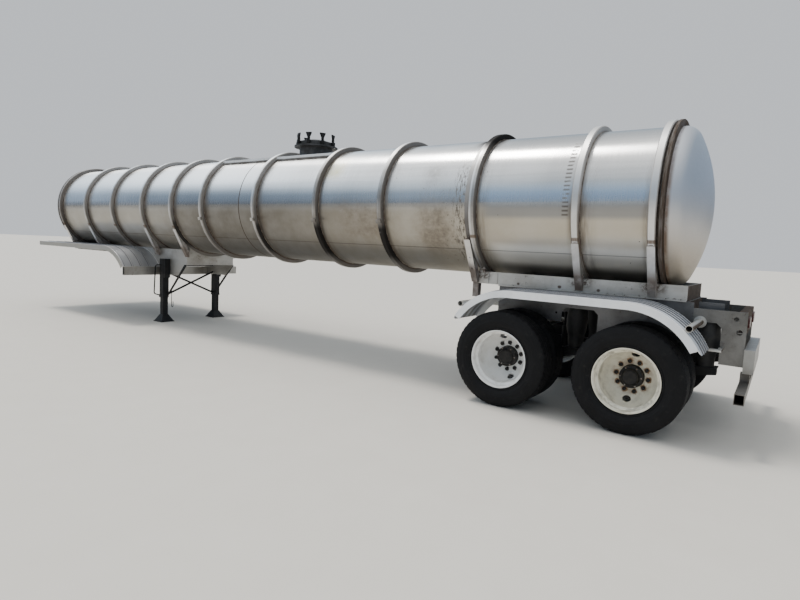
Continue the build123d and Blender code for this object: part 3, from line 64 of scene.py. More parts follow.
# Stiffening rings, front to rear, and half their width. The tenth stands at the saddle frame's front end, and
# the last two stand over that frame
RINGS_X = (6.145, 5.056, 4.020, 2.971, 2.049, 1.189, -0.106, -1.372, -2.491, -3.781, -4.932, -5.646)
FRONT_RINGS, MIDDLE_RINGS, SADDLE_RINGS = RINGS_X[:7], RINGS_X[7:10], RINGS_X[9:]
RING_FOOT_HALF = 0.0365

# Welds round the shell and along it, the latter as an angle from its top, and the point midway between the
# rims of the two dished ends
COURSE_WELD_X = 0.285
SEAM_ANGLE = math.radians(130.0)
HEADS_MIDDLE_X = 0.25

# The last ring's rear face and the dark band behind it, the struts' welds on the rings, the saddle rails'
# lower edge, and the cross member between the rear end plates with half its width
LAST_RING_BACK_X, END_BAND_X = -5.684, -5.725
STRUT_WELD_Z = 1.750
SADDLE_LOW_Z = 1.240
END_CROSS_X, END_CROSS_HALF = -6.28, 0.490

# The manway's screws: how many, the first and last one's place round the neck in degrees, and their circle
SCREWS, SCREW_FIRST, SCREW_LAST, SCREW_CIRCLE = 6, -14.0, 194.0, 0.292

# Ribs of the wings: inner and outer edge of each, as distances from the centre plane
FENDER_RIBS = ((0.740, 0.766), (0.850, 0.876), (0.960, 0.986), (1.070, 1.096))
FRONT_WING_RIBS = ((0.690, 0.716), (0.850, 0.876), (1.010, 1.036))

# Wheels: how many studs, and the radii of their circle and of the rim's outer flange
STUDS, STUD_CIRCLE, FLANGE_R = 10, 0.143, 0.268

# Linear colours that several surfaces share
DIRT_BROWN = (0.060, 0.042, 0.030)
SOOT = (0.016, 0.014, 0.013)
WELD_STAIN = (0.135, 0.095, 0.068)
BRIGHT_SHEET = (0.98, 0.99, 1.0)


def add_object(name, data):
    made = bpy.data.objects.new(name, data)
    bpy.context.scene.collection.objects.link(made)
    return made


# Camera at the photograph's angle

CAMERA_AT = (-6.6958, 6.3130, 1.5954)
CAMERA_FORWARD = (0.5713, -0.8150, -0.09715)
CAMERA_UP = (0.09516, -0.05181, 0.99415)
LENS_MM, SENSOR_MM = 24.56, 36.0


def look(location, forward, up, lens):
    camera = add_object("camera", bpy.data.cameras.new("camera"))
    forward = Vector(forward).normalized()
    right = forward.cross(Vector(up)).normalized()
    upward = right.cross(forward)
    turned = Matrix((right, upward, -forward)).transposed().to_4x4()
    camera.matrix_world = Matrix.Translation(location) @ turned
    camera.data.lens = lens
    camera.data.sensor_width = SENSOR_MM
    camera.data.clip_end = 400.0
    bpy.context.scene.camera = camera


look(CAMERA_AT, CAMERA_FORWARD, CAMERA_UP, LENS_MM)


# Node trees

def put(tree, socket, value):
    """Link another socket to this one, or set its own value."""
    if isinstance(value, bpy.types.NodeSocket):
        tree.links.new(value, socket)
    elif hasattr(value, "__len__") and len(value) == 3 and socket.type == "RGBA":
        socket.default_value = (*value, 1.0)
    else:
        socket.default_value = value


def smooth_range(tree, value, low, high, to_low=0.0, to_high=1.0):
    node = tree.nodes.new("ShaderNodeMapRange")
    node.interpolation_type = "SMOOTHSTEP"
    for name, v in (("Value", value), ("From Min", low), ("From Max", high),
                    ("To Min", to_low), ("To Max", to_high)):
        put(tree, node.inputs[name], v)
    return node.outputs["Result"]


def grey(level):
    return level, level, level


class Paint:
    """A material's node tree, with the few operations that the surfaces below are made of."""

    def __init__(self, name, roughness, metallic=0.0, specular=None):
        self.material = bpy.data.materials.new(name)
        self.material.use_nodes = True
        self.tree = self.material.node_tree
        self.shader = self.tree.nodes["Principled BSDF"]
        self.rough(roughness)
        self.metal(metallic)
        if specular is not None:
            self.put(self.shader.inputs["Specular IOR Level"], specular)
        self.object = self.tree.nodes.new("ShaderNodeTexCoord").outputs["Object"]
        self.x, self.y, self.z = self.parts(self.object)

    def put(self, socket, value):
        put(self.tree, socket, value)

    def parts(self, vector):
        split = self.tree.nodes.new("ShaderNodeSeparateXYZ")
        self.tree.links.new(vector, split.inputs[0])
        return split.outputs

    def math(self, operation, a, b=0.0):
        node = self.tree.nodes.new("ShaderNodeMath")
        node.operation = operation
        self.put(node.inputs[0], a)
        self.put(node.inputs[1], b)
        return node.outputs[0]

    def joined(self, operation, values):
        total = values[0]
        for value in values[1:]:
            total = self.math(operation, total, value)
        return total

    def times(self, *values):
        return self.joined("MULTIPLY", values)

    def plus(self, *values):
        return self.joined("ADD", values)

    def most(self, *values):
        return self.joined("MAXIMUM", values)

    def minus(self, a, b):
        return self.math("SUBTRACT", a, b)

    def absolute(self, value):
        return self.math("ABSOLUTE", value)

    def length(self, a, b):
        return self.math("SQRT", self.plus(self.times(a, a), self.times(b, b)))

    def span(self, value, low, high, to_low=0.0, to_high=1.0):
        """A smooth step from to_low at low to to_high at high. High may lie below low."""
        return smooth_range(self.tree, value, low, high, to_low, to_high)

    def near(self, value, centre, half, soft):
        """1 within half of centre, falling to 0 over soft."""
        return self.span(self.absolute(self.minus(value, centre)), half, half + soft, 1.0, 0.0)

    def vector(self, x, y, z):
        node = self.tree.nodes.new("ShaderNodeCombineXYZ")
        for socket, value in zip(node.inputs, (x, y, z)):
            self.put(socket, value)
        return node.outputs[0]

    def scaled(self, x, y, z, vector=None):
        node = self.tree.nodes.new("ShaderNodeMapping")
        self.put(node.inputs["Vector"], vector or self.object)
        node.inputs["Scale"].default_value = (x, y, z)
        return node.outputs[0]

    def noise(self, vector, scale, detail=3.0, roughness=0.55):
        node = self.tree.nodes.new("ShaderNodeTexNoise")
        self.put(node.inputs["Vector"], vector)
        node.inputs["Scale"].default_value = scale
        node.inputs["Detail"].default_value = detail
        node.inputs["Roughness"].default_value = roughness
        return node.outputs["Fac"]

    def cells(self, vector, scale, randomness=1.0):
        node = self.tree.nodes.new("ShaderNodeTexVoronoi")
        self.put(node.inputs["Vector"], vector)
        node.inputs["Scale"].default_value = scale
        node.inputs["Randomness"].default_value = randomness
        return node.outputs["Distance"]

    def mix(self, factor, a, b):
        node = self.tree.nodes.new("ShaderNodeMix")
        node.data_type = "RGBA"
        colours = [socket for socket in node.inputs if socket.type == "RGBA"]
        self.put(node.inputs[0], factor)
        self.put(colours[0], a)
        self.put(colours[1], b)
        return [socket for socket in node.outputs if socket.type == "RGBA"][0]

    def colour(self, value):
        self.put(self.shader.inputs["Base Color"], value)

    def rough(self, value):
        self.put(self.shader.inputs["Roughness"], value)

    def metal(self, value):
        self.put(self.shader.inputs["Metallic"], value)

    def bump(self, height, strength, distance):
        node = self.tree.nodes.new("ShaderNodeBump")
        node.inputs["Strength"].default_value = strength
        node.inputs["Distance"].default_value = distance
        self.put(node.inputs["Height"], height)
        self.put(self.shader.inputs["Normal"], node.outputs[0])

    def facing(self):
        """The surface's own normal, in the frame's axes, as three values."""
        node = self.tree.nodes.new("ShaderNodeNewGeometry")
        return self.parts(node.outputs["True Normal"])

    def grain(self, anisotropy, turn):
        """Brush marks round the tank's long axis: reflections run out across them."""
        self.shader.inputs["Anisotropic"].default_value = anisotropy
        self.shader.inputs["Anisotropic Rotation"].default_value = turn
        node = self.tree.nodes.new("ShaderNodeTangent")
        node.direction_type = "RADIAL"
        node.axis = "X"
        self.tree.links.new(node.outputs[0], self.shader.inputs["Tangent"])


def over_axis(p):
    """Height above the tank's axis."""
    return p.minus(p.z, TANK_Z)


def from_ring(p, ahead, behind):
    """1 at a ring's foot, falling to 0 over these distances ahead of it and behind it."""
    foot = 0.030
    offsets = [p.minus(p.x, ring_x) for ring_x in RINGS_X]
    return p.most(*(p.times(p.span(offset, foot, ahead, 1.0, 0.0), p.span(offset, -foot, -behind, 1.0, 0.0))
                    for offset in offsets))


# Surfaces

def shell_paint():
    """Brushed sheet of the barrel, then painted reflections of the sky, the ground and what stands near, stains
    and marks.
    """
    p = Paint("tank_stainless", 0.3, 1.0, 0.1)
    height = over_axis(p)
    angle = p.math("ARCTAN2", p.y, height)
    flat = p.vector(p.x, p.times(angle, TANK_R), 0.0)
    left = p.span(p.y, 0.0, 0.05)
    grain = p.noise(p.scaled(120.0, 3.0, 1.0, flat), 1.0, 4.0, 0.7)
    bands = p.noise(p.scaled(0.35, 16.0, 1.0, flat), 1.0, 4.0, 0.6)
    sheet = p.noise(p.scaled(0.9, 0.3, 1.0, flat), 1.6, 3.0)
    cloud = p.noise(flat, 2.6, 6.0, 0.62)
    speckle = p.noise(flat, 17.0, 6.0, 0.72)
    drips = p.noise(p.scaled(9.0, 1.1, 1.0, flat), 1.0, 5.0, 0.65)
    dull_sheet = (0.40, 0.41, 0.42)
    base = p.mix(p.span(sheet, 0.3, 0.7), grey(0.60), grey(0.72))
    base = p.mix(p.span(grain, 0.3, 0.8, 0.0, 0.22), base, (0.46, 0.46, 0.45))
    base = p.mix(p.span(bands, 0.35, 0.65, 0.0, 0.20), base, dull_sheet)

    # Painted reflection of the sky: brighter sheet along the upper flank of the front bays, duller on top of the
    # rear ones
    sky_reflection = p.most(p.times(p.span(p.x, -1.5, 1.2), p.span(height, 0.14, 0.40)),
                   p.times(p.span(p.x, 3.2, 5.0), p.span(height, 0.02, 0.12)))
    crest = p.times(p.span(p.x, -3.7, -4.2), p.span(height, 0.56, 0.70))
    base = p.mix(p.times(sky_reflection, 0.85), base, (0.93, 0.93, 0.925))
    base = p.mix(p.times(crest, 0.60), base, dull_sheet)

    # Painted reflection of the ground: beige low down, darker and greyer towards the middle, paler again at the
    # front
    ground_reflection = p.times(p.span(height, 0.10, -0.14), p.span(cloud, 0.30, 0.70, 0.80, 1.0))
    tint = p.mix(p.span(p.x, -5.3, 0.3), (0.50, 0.455, 0.375), (0.150, 0.138, 0.118))
    tint = p.mix(p.span(p.x, 1.2, 3.4), tint, (0.40, 0.38, 0.34))
    grey_middle = p.times(p.near(p.x, 0.3, 0.8, 2.4), p.span(height, 0.40, 0.0, 0.0, 0.60))
    base = p.mix(grey_middle, base, (0.34, 0.345, 0.35))
    base = p.mix(ground_reflection, base, tint)

    # Painted reflections over the axles: a grey band, a blue one above it, the pale wings low down and the dark
    # frame below them, and a dark painted reflection along the belly
    above_axles = p.span(p.x, -3.8, -4.0)
    shade = p.times(above_axles, p.near(height, -0.09, 0.04, 0.07))
    blue_reflection = p.times(above_axles, p.near(height, 0.08, 0.02, 0.14))
    base = p.mix(p.times(shade, 0.70), base, (0.22, 0.23, 0.245))
    base = p.mix(p.times(blue_reflection, 0.62), base, (0.66, 0.76, 0.88))
    above_wings = p.span(p.x, -3.85, -4.10)
    wing_reflection = p.times(above_wings, p.near(height, -0.57, 0.06, 0.10), 0.9)
    frame_reflection = p.times(above_wings, p.span(height, -0.62, -0.72), 0.85)
    belly_reflection = p.times(p.span(height, -0.50, -0.58), p.span(p.x, -4.0, -3.0, -0.8, 0.30))
    base = p.mix(wing_reflection, base, (0.92, 0.90, 0.85))
    base = p.mix(frame_reflection, base, (0.12, 0.118, 0.115))
    base = p.mix(belly_reflection, base, (0.20, 0.195, 0.19))

    # Brown stains of spilled load between the eighth and tenth rings, and a yellow one high up
    mottle = p.times(p.span(cloud, 0.32, 0.66, 0.25, 1.0), p.span(speckle, 0.32, 0.62, 0.45, 1.0))
    spill = p.most(p.times(p.near(p.x, -2.15, 0.14, 0.42), p.near(height, -0.20, 0.10, 0.28)),
                   p.times(p.near(p.x, -3.30, 0.10, 0.38), p.near(height, -0.26, 0.16, 0.30)),
                   p.times(p.near(p.x, -3.20, 0.02, 0.20), p.near(height, 0.32, 0.05, 0.18), 0.6))
    spill = p.times(spill, mottle, left)
    base = p.mix(p.times(spill, 0.66), base, (0.150, 0.118, 0.090))
    yellow = p.times(p.near(p.x, -1.52, 0.06, 0.26), p.near(height, 0.50, 0.05, 0.18), mottle, left)
    base = p.mix(p.times(yellow, 0.80), base, (0.72, 0.67, 0.42))

    # Dark brown at the rings' feet, partly dirt and partly painted shadow, and dirt that has run down from it
    foot = p.times(from_ring(p, 0.050, 0.075), p.span(height, 0.75, -0.10, 0.35, 1.0))
    runs = p.times(from_ring(p, 0.12, 0.22), p.span(drips, 0.34, 0.64),
                   p.span(height, 0.60, -0.20, 0.25, 1.0))
    ring_dirt_and_shadow = p.most(foot, runs)
    base = p.mix(p.times(ring_dirt_and_shadow, 0.80), base, (0.115, 0.085, 0.060))

    # Dark marks: streaks and crumbs ahead of the tenth ring, a ladder of smears ahead of the eleventh, dots,
    # the welds and a band at the rear end
    crackle = p.noise(p.scaled(36.0, 9.0, 1.0, flat), 1.0, 6.0, 0.80)
    streaks = p.times(p.near(p.x, -3.63, 0.06, 0.09), p.span(crackle, 0.49, 0.58), left,
                      p.near(height, -0.12, 0.42, 0.22), 0.85)
    crumbs = p.times(p.near(p.x, -3.55, 0.10, 0.16), p.span(speckle, 0.58, 0.66), left,
                     p.near(height, -0.25, 0.35, 0.25), 0.7)
    ladder_x, ladder_z, ladder_pitch = -4.815, 2.365, 0.042
    rungs = p.near(p.math("FRACT", p.math("DIVIDE", p.z, ladder_pitch)), 0.5, 0.16, 0.14)
    ladder = p.times(rungs, p.near(p.x, ladder_x, 0.024, 0.016), p.near(p.z, ladder_z, 0.36, 0.06), left,
                     p.span(p.noise(p.scaled(14.0, 14.0, 1.0, flat), 1.0), 0.30, 0.48), 0.72)
    dots = p.times(p.span(p.cells(flat, 6.5), 0.028, 0.045, 1.0, 0.0), p.span(p.x, -1.0, -3.6),
                   p.span(p.noise(flat, 1.9), 0.38, 0.48))
    course = p.near(p.x, COURSE_WELD_X, 0.006, 0.006)
    seam = p.times(p.near(p.absolute(angle), SEAM_ANGLE, 0.004, 0.006), 0.6)
    end_band = p.times(p.near(p.x, END_BAND_X, 0.030, 0.012), p.span(grain, 0.25, 0.60, 0.85, 1.0))
    dark = p.most(streaks, crumbs, ladder, dots, course, seam, end_band)
    base = p.mix(p.times(dark, 0.94), base, DIRT_BROWN)
    soot = p.times(p.near(p.x, -3.74, 0.10, 0.12), p.span(height, 0.62, 0.76), p.span(cloud, 0.28, 0.44))
    p.colour(p.mix(soot, base, SOOT))

    # Dirt, the painted reflections and the painted shadow at the rings' feet take away the metal's shine
    dirt_and_painted_light = p.most(p.times(ground_reflection, 0.30), p.times(spill, 0.60), p.times(yellow, 0.3),
                  p.times(ring_dirt_and_shadow, 0.65), dark, soot)
    p.metal(p.span(dirt_and_painted_light, 0.0, 1.0, 1.0, 0.05))
    blur = p.span(height, -0.40, -0.60, 0.0, 0.30)
    p.rough(p.plus(p.span(grain, 0.2, 0.8, 0.20, 0.30), blur, p.times(dirt_and_painted_light, 0.30)))
    p.grain(0.75, 0.25)
    p.bump(p.plus(p.times(grain, 0.2), p.most(course, seam)), 0.06, 0.002)
    return p.material


def head_paint():
    """The dished ends: cooler above, with a painted beige reflection of the ground below, brown at the rim, with a
    few specks of grime.
    """
    p = Paint("tank_head_stainless", 0.42, 1.0, 0.05)
    height = over_axis(p)
    cloud = p.noise(p.object, 1.6, 4.0, 0.5)
    fine = p.noise(p.scaled(60.0, 14.0, 60.0), 1.0, 3.0)
    wear = p.noise(p.object, 9.0, 6.0, 0.7)
    base = p.mix(p.span(cloud, 0.3, 0.7), (0.50, 0.52, 0.56), (0.56, 0.58, 0.62))
    # Painted reflection of the ground: beige over the lower half
    base = p.mix(p.times(p.span(height, 0.10, -0.65), 0.85), base, (0.55, 0.48, 0.38))
    rim = p.span(p.absolute(p.minus(p.x, HEADS_MIDDLE_X)), 6.040, 6.008)
    edge = p.times(rim, p.span(wear, 0.28, 0.60, 0.5, 1.0), p.span(height, 0.70, -0.20, 0.45, 1.0))
    base = p.mix(p.times(edge, 0.85), base, (0.17, 0.10, 0.06))
    specks = p.span(p.cells(p.object, 12.0), 0.05, 0.08, 1.0, 0.0)
    spread = p.most(p.times(p.near(p.y, 0.02, 0.05, 0.14), p.near(height, -0.06, 0.04, 0.12)),
                    p.span(p.noise(p.object, 3.1), 0.60, 0.66, 0.0, 0.7))
    p.colour(p.mix(p.times(specks, spread, 0.8), base, (0.10, 0.07, 0.06)))
    p.metal(p.span(edge, 0.0, 0.9, 0.95, 0.0))
    low = p.span(height, -0.15, -0.60, 0.0, 0.22)
    p.rough(p.plus(p.span(fine, 0.3, 0.8, 0.36, 0.46), low, p.times(edge, 0.25)))
    p.bump(fine, 0.02, 0.002)
    return p.material


def ring_paint():
    """Satin rings with sides painted dark as shade and browned low down, grime at their roots, weld stains at the
    struts, and soot on some.
    """
    p = Paint("ring_stainless", 0.38, 1.0, 0.05)
    height = over_axis(p)
    reach = p.length(p.y, height)
    side = p.span(p.absolute(p.facing()[0]), 0.35, 0.80)
    patch = p.noise(p.object, 3.0, 5.0, 0.60)
    fine = p.noise(p.scaled(90.0, 6.0, 6.0), 1.0, 4.0, 0.7)
    base = p.mix(p.span(patch, 0.3, 0.7), grey(0.74), (0.62, 0.61, 0.60))

    # Sides: painted shade, browner low down, and paler on the last two rings
    flank = p.mix(p.span(height, 0.45, -0.55), (0.30, 0.29, 0.28), (0.115, 0.095, 0.078))
    rear_flank = p.mix(p.span(height, 0.3, -0.5), (0.40, 0.38, 0.36), (0.17, 0.13, 0.095))
    flank = p.mix(p.span(p.x, -4.2, -4.6), flank, rear_flank)
    base = p.mix(p.times(side, p.span(patch, 0.3, 0.7, 0.75, 1.0)), base, flank)

    # Crowns: dull on the eighth and ninth rings, with the rear half darker on all but the last two rings. The
    # painted shade on the sides of
    #  the eighth to tenth rings is darker still
    middle = p.near(p.x, -1.9, 0.75, 0.35)
    dull = p.times(middle, p.span(height, 0.75, 0.30), p.span(patch, 0.3, 0.6, 0.60, 0.95))
    base = p.mix(dull, base, (0.27, 0.26, 0.25))
    rear_half = p.most(*(p.near(p.x, ring_x - 0.026, 0.010, 0.014) for ring_x in FRONT_RINGS),
                       *(p.near(p.x, ring_x - 0.020, 0.018, 0.012) for ring_x in MIDDLE_RINGS))
    rear_half = p.times(rear_half, p.span(patch, 0.3, 0.6, 0.5, 0.9), p.span(height, 0.80, 0.30, 0.3, 1.0))
    base = p.mix(rear_half, base, (0.26, 0.24, 0.22))
    dark_side = p.times(side, p.near(p.x, -2.6, 1.30, 0.10), 0.65)
    base = p.mix(dark_side, base, (0.095, 0.082, 0.072))

    # Dirt on the lower half ahead of the saddle frame, and the stains where the struts are welded on
    root = p.times(p.span(reach, TANK_R + 0.030, TANK_R + 0.004), p.span(height, 0.5, -0.3, 0.5, 1.0))
    under = p.times(p.span(height, 0.10, -0.45), p.span(p.x, -4.3, -3.5),
                    p.span(patch, 0.30, 0.62, 0.55, 1.0))
    base = p.mix(p.times(under, 0.75), base, (0.17, 0.155, 0.14))
    struts = p.most(p.span(p.x, -3.5, -3.6), p.span(p.x, 1.9, 1.95))
    back_face = p.span(p.x, LAST_RING_BACK_X, LAST_RING_BACK_X - 0.006)
    collar = p.times(p.near(p.z, STRUT_WELD_Z, 0.010, 0.016), struts,
                     p.span(reach, TANK_R + 0.040, TANK_R + 0.050),
                     p.minus(1.0, back_face), p.span(fine, 0.2, 0.6, 0.55, 0.9))
    base = p.mix(collar, base, WELD_STAIN)

    # Black from spills low on the flank of four rings, soot on top of the tenth, grime at both ends
    blackened = p.most(middle, p.times(p.near(p.x, RINGS_X[6], 0.06, 0.02), side, 0.90),
                       p.times(p.near(p.x, RINGS_X[4], 0.06, 0.02), side, 0.85))
    black = p.times(blackened, p.span(height, -0.22, -0.34), p.span(height, -0.78, -0.64),
                    p.span(patch, 0.26, 0.42), 0.95)
    soot = p.times(p.near(p.x, RINGS_X[9], 0.06, 0.02), p.span(height, 0.54, 0.74),
                   p.span(patch, 0.22, 0.36))
    sooty = p.most(black, soot)
    end = p.times(back_face, p.span(fine, 0.25, 0.65, 0.84, 1.0))
    front = p.times(p.span(p.x, 5.70, 5.72), 0.5)
    grime = p.most(p.times(root, 0.8), end, front)
    base = p.mix(grime, base, DIRT_BROWN)
    p.colour(p.mix(sooty, base, SOOT))
    # Dirt, and the painted shade on the sides, take away the metal's shine
    dirt_and_painted_light = p.most(p.times(side, 0.55), p.times(under, 0.45), grime, sooty)
    p.metal(p.span(dirt_and_painted_light, 0.0, 0.9, 1.0, 0.0))
    p.rough(p.plus(p.span(patch, 0.3, 0.8, 0.32, 0.46), p.times(dirt_and_painted_light, 0.22)))
    p.bump(patch, 0.04, 0.002)
    return p.material


def strut_paint():
    """Struts, stained at their feet and where they meet the rings."""
    p = Paint("strut_stainless", 0.42, 1.0)
    patch = p.noise(p.object, 6.0, 5.0, 0.60)
    fine = p.noise(p.object, 40.0, 5.0, 0.65)
    base = p.mix(p.span(patch, 0.3, 0.7), (0.72, 0.71, 0.70), (0.58, 0.56, 0.54))
    foot = p.times(p.span(p.z, 1.50, 1.36), p.span(patch, 0.25, 0.60, 0.55, 1.0))
    collar = p.times(p.span(p.z, STRUT_WELD_Z - 0.050, STRUT_WELD_Z - 0.028),
                     p.span(fine, 0.2, 0.5, 0.55, 0.9))
    base = p.mix(collar, base, WELD_STAIN)
    rust = p.most(foot, p.times(collar, 0.5))
    p.colour(p.mix(p.times(foot, 0.85), base, (0.10, 0.065, 0.045)))
    p.metal(p.span(rust, 0.0, 1.0, 1.0, 0.3))
    p.rough(p.plus(p.span(patch, 0.3, 0.8, 0.34, 0.5), p.times(rust, 0.25)))
    p.bump(fine, 0.04, 0.002)
    return p.material


def rail_paint():
    """Overturn rails: a light top edge over a web painted dark as shade."""
    p = Paint("overturn_rail_stainless", 0.42, 1.0)
    patch = p.noise(p.object, 5.0, 5.0, 0.60)
    base = p.mix(p.span(patch, 0.3, 0.7), (0.95, 0.95, 0.94), (0.80, 0.79, 0.78))
    web = p.times(p.span(p.z, RAIL_TOP - 0.030, RAIL_TOP - 0.040), p.span(patch, 0.25, 0.55, 0.75, 1.0))
    p.colour(p.mix(web, base, (0.10, 0.09, 0.08)))
    p.metal(p.span(web, 0.0, 1.0, 0.5, 0.2))
    p.rough(p.plus(p.span(patch, 0.3, 0.8, 0.32, 0.46), p.times(web, 0.25)))
    return p.material


def frame_paint(name, pale, deep, rear_shade_and_rust):
    """Dull stainless of the frames. The last argument is how far the rear-facing sides are darkened as painted
    shade and browned as rust.
    """
    p = Paint(name, 0.5, 0.8, 0.05)
    patch = p.noise(p.object, 2.2, 5.0, 0.62)
    fine = p.noise(p.object, 60.0, 4.0, 0.6)
    speckle = p.noise(p.object, 26.0, 5.0, 0.70)
    base = p.mix(p.span(patch, 0.32, 0.68), pale, deep)

    # Painted shade on the rear faces and on all of the cross member between the end plates, browned as rust
    cross = p.times(p.span(p.x, END_CROSS_X, END_CROSS_X - 0.02),
                    p.span(p.absolute(p.y), END_CROSS_HALF, END_CROSS_HALF - 0.006))
    back_shade_and_rust = p.times(p.most(p.span(p.facing()[0], -0.6, -0.9), cross), p.span(p.x, -5.0, -5.5), rear_shade_and_rust)
    brown = p.mix(p.span(speckle, 0.35, 0.65), (0.034, 0.026, 0.021), (0.100, 0.070, 0.050))
    base = p.mix(p.times(back_shade_and_rust, 0.95), base, brown)

    # Rust: at the struts' feet, in round spots along the saddle rails' lower edge, and scattered
    feet = p.most(*(p.near(p.x, ring_x, 0.05, 0.11) for ring_x in SADDLE_RINGS))
    feet = p.times(feet, p.span(p.z, SADDLE_LOW_Z, SADDLE_LOW_Z + 0.06), p.span(speckle, 0.40, 0.56))
    low_edge = p.times(p.near(p.z, SADDLE_LOW_Z, 0.014, 0.016), p.span(p.x, -3.7, -3.8),
                       p.span(p.cells(p.scaled(1.4, 0.0, 1.6), 6.0), 0.13, 0.22, 1.0, 0.0))
    spots = p.times(p.span(speckle, 0.58, 0.66), p.span(patch, 0.42, 0.58))
    rust = p.most(feet, low_edge, p.times(spots, 0.7))
    p.colour(p.mix(p.times(rust, 0.85), base, (0.075, 0.045, 0.030)))
    p.metal(p.span(p.most(rust, back_shade_and_rust), 0.0, 1.0, 0.80, 0.15))
    p.rough(p.plus(p.span(fine, 0.3, 0.8, 0.38, 0.52), p.times(p.most(rust, back_shade_and_rust), 0.35)))
    p.bump(fine, 0.06, 0.002)
    return p.material


def dark_paint(name="black_paint", shade=1.0):
    """Dusty black paint. shade lightens all of it."""
    p = Paint(name, 0.6, 0.0, 0.25)
    patch = p.noise(p.object, 8.0, 5.0, 0.65)
    dust = p.noise(p.scaled(1.0, 1.0, 0.4), 14.0, 5.0, 0.65)
    deep, pale, brown = (tuple(shade * level for level in colour) for colour in (
        grey(0.007), (0.018, 0.018, 0.019), (0.055, 0.036, 0.024)))
    base = p.mix(p.span(patch, 0.35, 0.7), deep, pale)
    p.colour(p.mix(p.span(dust, 0.62, 0.76, 0.0, 0.5), base, brown))
    p.rough(p.span(patch, 0.3, 0.8, 0.45, 0.70))
    p.bump(dust, 0.06, 0.002)
    return p.material


def wing_paint(name, node, ribs, pale, deep, groove, groove_half, metal, rim):
    """Pressed sheet of a wing.

    pale is the colour of the ribs' crowns and lips, painted lighter as highlight, deep of the sheet between them,
    painted darker as shade,
     and rim of the upright edges. groove is how dark the painted shadow lines at the ribs' feet are, and
     groove_half how wide.
    """
    inner, edge = (corner.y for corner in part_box(node))
    p = Paint(name, 0.34, 1.0)
    patch = p.noise(p.object, 3.0, 5.0, 0.60)
    fine = p.noise(p.scaled(1.0, 40.0, 1.0), 10.0, 3.0)
    out = p.absolute(p.y)
    # Painted light: the ribs' crowns and lips lighter, the sheet between darker, and painted shadow lines at the
    # ribs' feet and near the edge
    on_rib = p.most(*(p.near(out, (low + high) / 2, (high - low) / 2 - 0.006, 0.004) for low, high in ribs))
    groove_shadow = p.most(p.near(out, edge - 0.036, 0.003, 0.007),
                     *(p.near(out, place, groove_half, 0.009) for rib in ribs for place in rib))
    lip = p.most(p.span(out, edge - 0.030, edge - 0.022), p.span(out, inner + 0.022, inner + 0.014))
    base = p.mix(p.most(on_rib, lip), deep, pale)
    base = p.mix(p.span(p.absolute(p.facing()[1]), 0.6, 0.8), base, rim)
    base = p.mix(p.span(patch, 0.35, 0.7, 0.0, 0.35), base, deep)
    base = p.mix(p.times(groove_shadow, groove), base, (0.13, 0.13, 0.14))
    p.colour(p.mix(p.span(fine, 0.5, 0.9, 0.0, 0.18), base, grey(0.50)))
    p.metal(metal)
    p.rough(p.span(patch, 0.3, 0.8, 0.30, 0.44))
    p.bump(patch, 0.03, 0.002)
    return p.material


def wheel_paint(name, age, centre, turn, stud_colour):
    """Painted rim and disc. centre is the axle's x and z, turn the first stud's angle, age how worn it is."""
    p = Paint(name, 0.42, 0.0)
    patch = p.noise(p.object, 9.0, 6.0, 0.65)
    fine = p.noise(p.object, 45.0, 5.0, 0.65)
    dx = p.minus(p.x, centre[0])
    dz = p.minus(p.z, centre[1])
    reach = p.length(dx, dz)
    white = p.mix(age, (0.88, 0.88, 0.87), (0.82, 0.78, 0.65))
    worn = p.times(p.span(patch, 0.4, 0.75), p.span(age, 0.0, 1.0, 0.25, 0.7))
    base = p.mix(worn, white, (0.52, 0.48, 0.38))

    # Distance to the nearest stud: along the studs' circle and out from it. 100 keeps the share positive
    share = p.times(p.minus(p.math("ARCTAN2", dz, dx), turn), STUDS / (2.0 * math.pi))
    turned = p.minus(p.math("FRACT", p.plus(share, 100.5)), 0.5)
    along = p.times(turned, 2.0 * math.pi / STUDS * STUD_CIRCLE)
    away = p.length(along, p.minus(reach, STUD_CIRCLE))
    ragged = p.plus(away, p.span(fine, 0.2, 0.8, -0.008, 0.010))
    studs = p.span(ragged, 0.021, 0.027 + 0.010 * age, 1.0, 0.0)
    collar = p.times(p.span(reach, 0.200, 0.165), p.span(patch, 0.36, 0.70, 0.0, 0.45), age)
    rust = p.most(studs, collar)
    base = p.mix(p.times(rust, 0.9), base, stud_colour)
    grime = p.times(p.near(reach, FLANGE_R, 0.004, 0.022), p.span(patch, 0.44, 0.62))
    p.colour(p.mix(p.times(grime, 0.25 + 0.3 * age), base, (0.22, 0.19, 0.15)))
    p.rough(p.plus(p.span(patch, 0.3, 0.8, 0.30, 0.48), p.times(rust, 0.3)))
    p.bump(p.plus(p.times(fine, 0.3), rust), 0.06, 0.002)
    return p.material


def hub_paint():
    p = Paint("hub_black", 0.45, 0.0, 0.3)
    patch = p.noise(p.object, 25.0, 5.0, 0.65)
    p.colour(p.mix(p.span(patch, 0.35, 0.7), (0.005, 0.005, 0.006), (0.020, 0.018, 0.016)))
    p.rough(p.span(patch, 0.3, 0.8, 0.32, 0.6))
    p.bump(patch, 0.08, 0.002)
    return p.material


def bolt_paint():
    p = Paint("bolt_steel", 0.45, 1.0)
    patch = p.noise(p.object, 60.0, 5.0, 0.65)
    p.colour(p.mix(p.span(patch, 0.4, 0.65), (0.32, 0.31, 0.30), (0.14, 0.09, 0.06)))
    p.rough(p.span(patch, 0.3, 0.8, 0.35, 0.6))
    return p.material


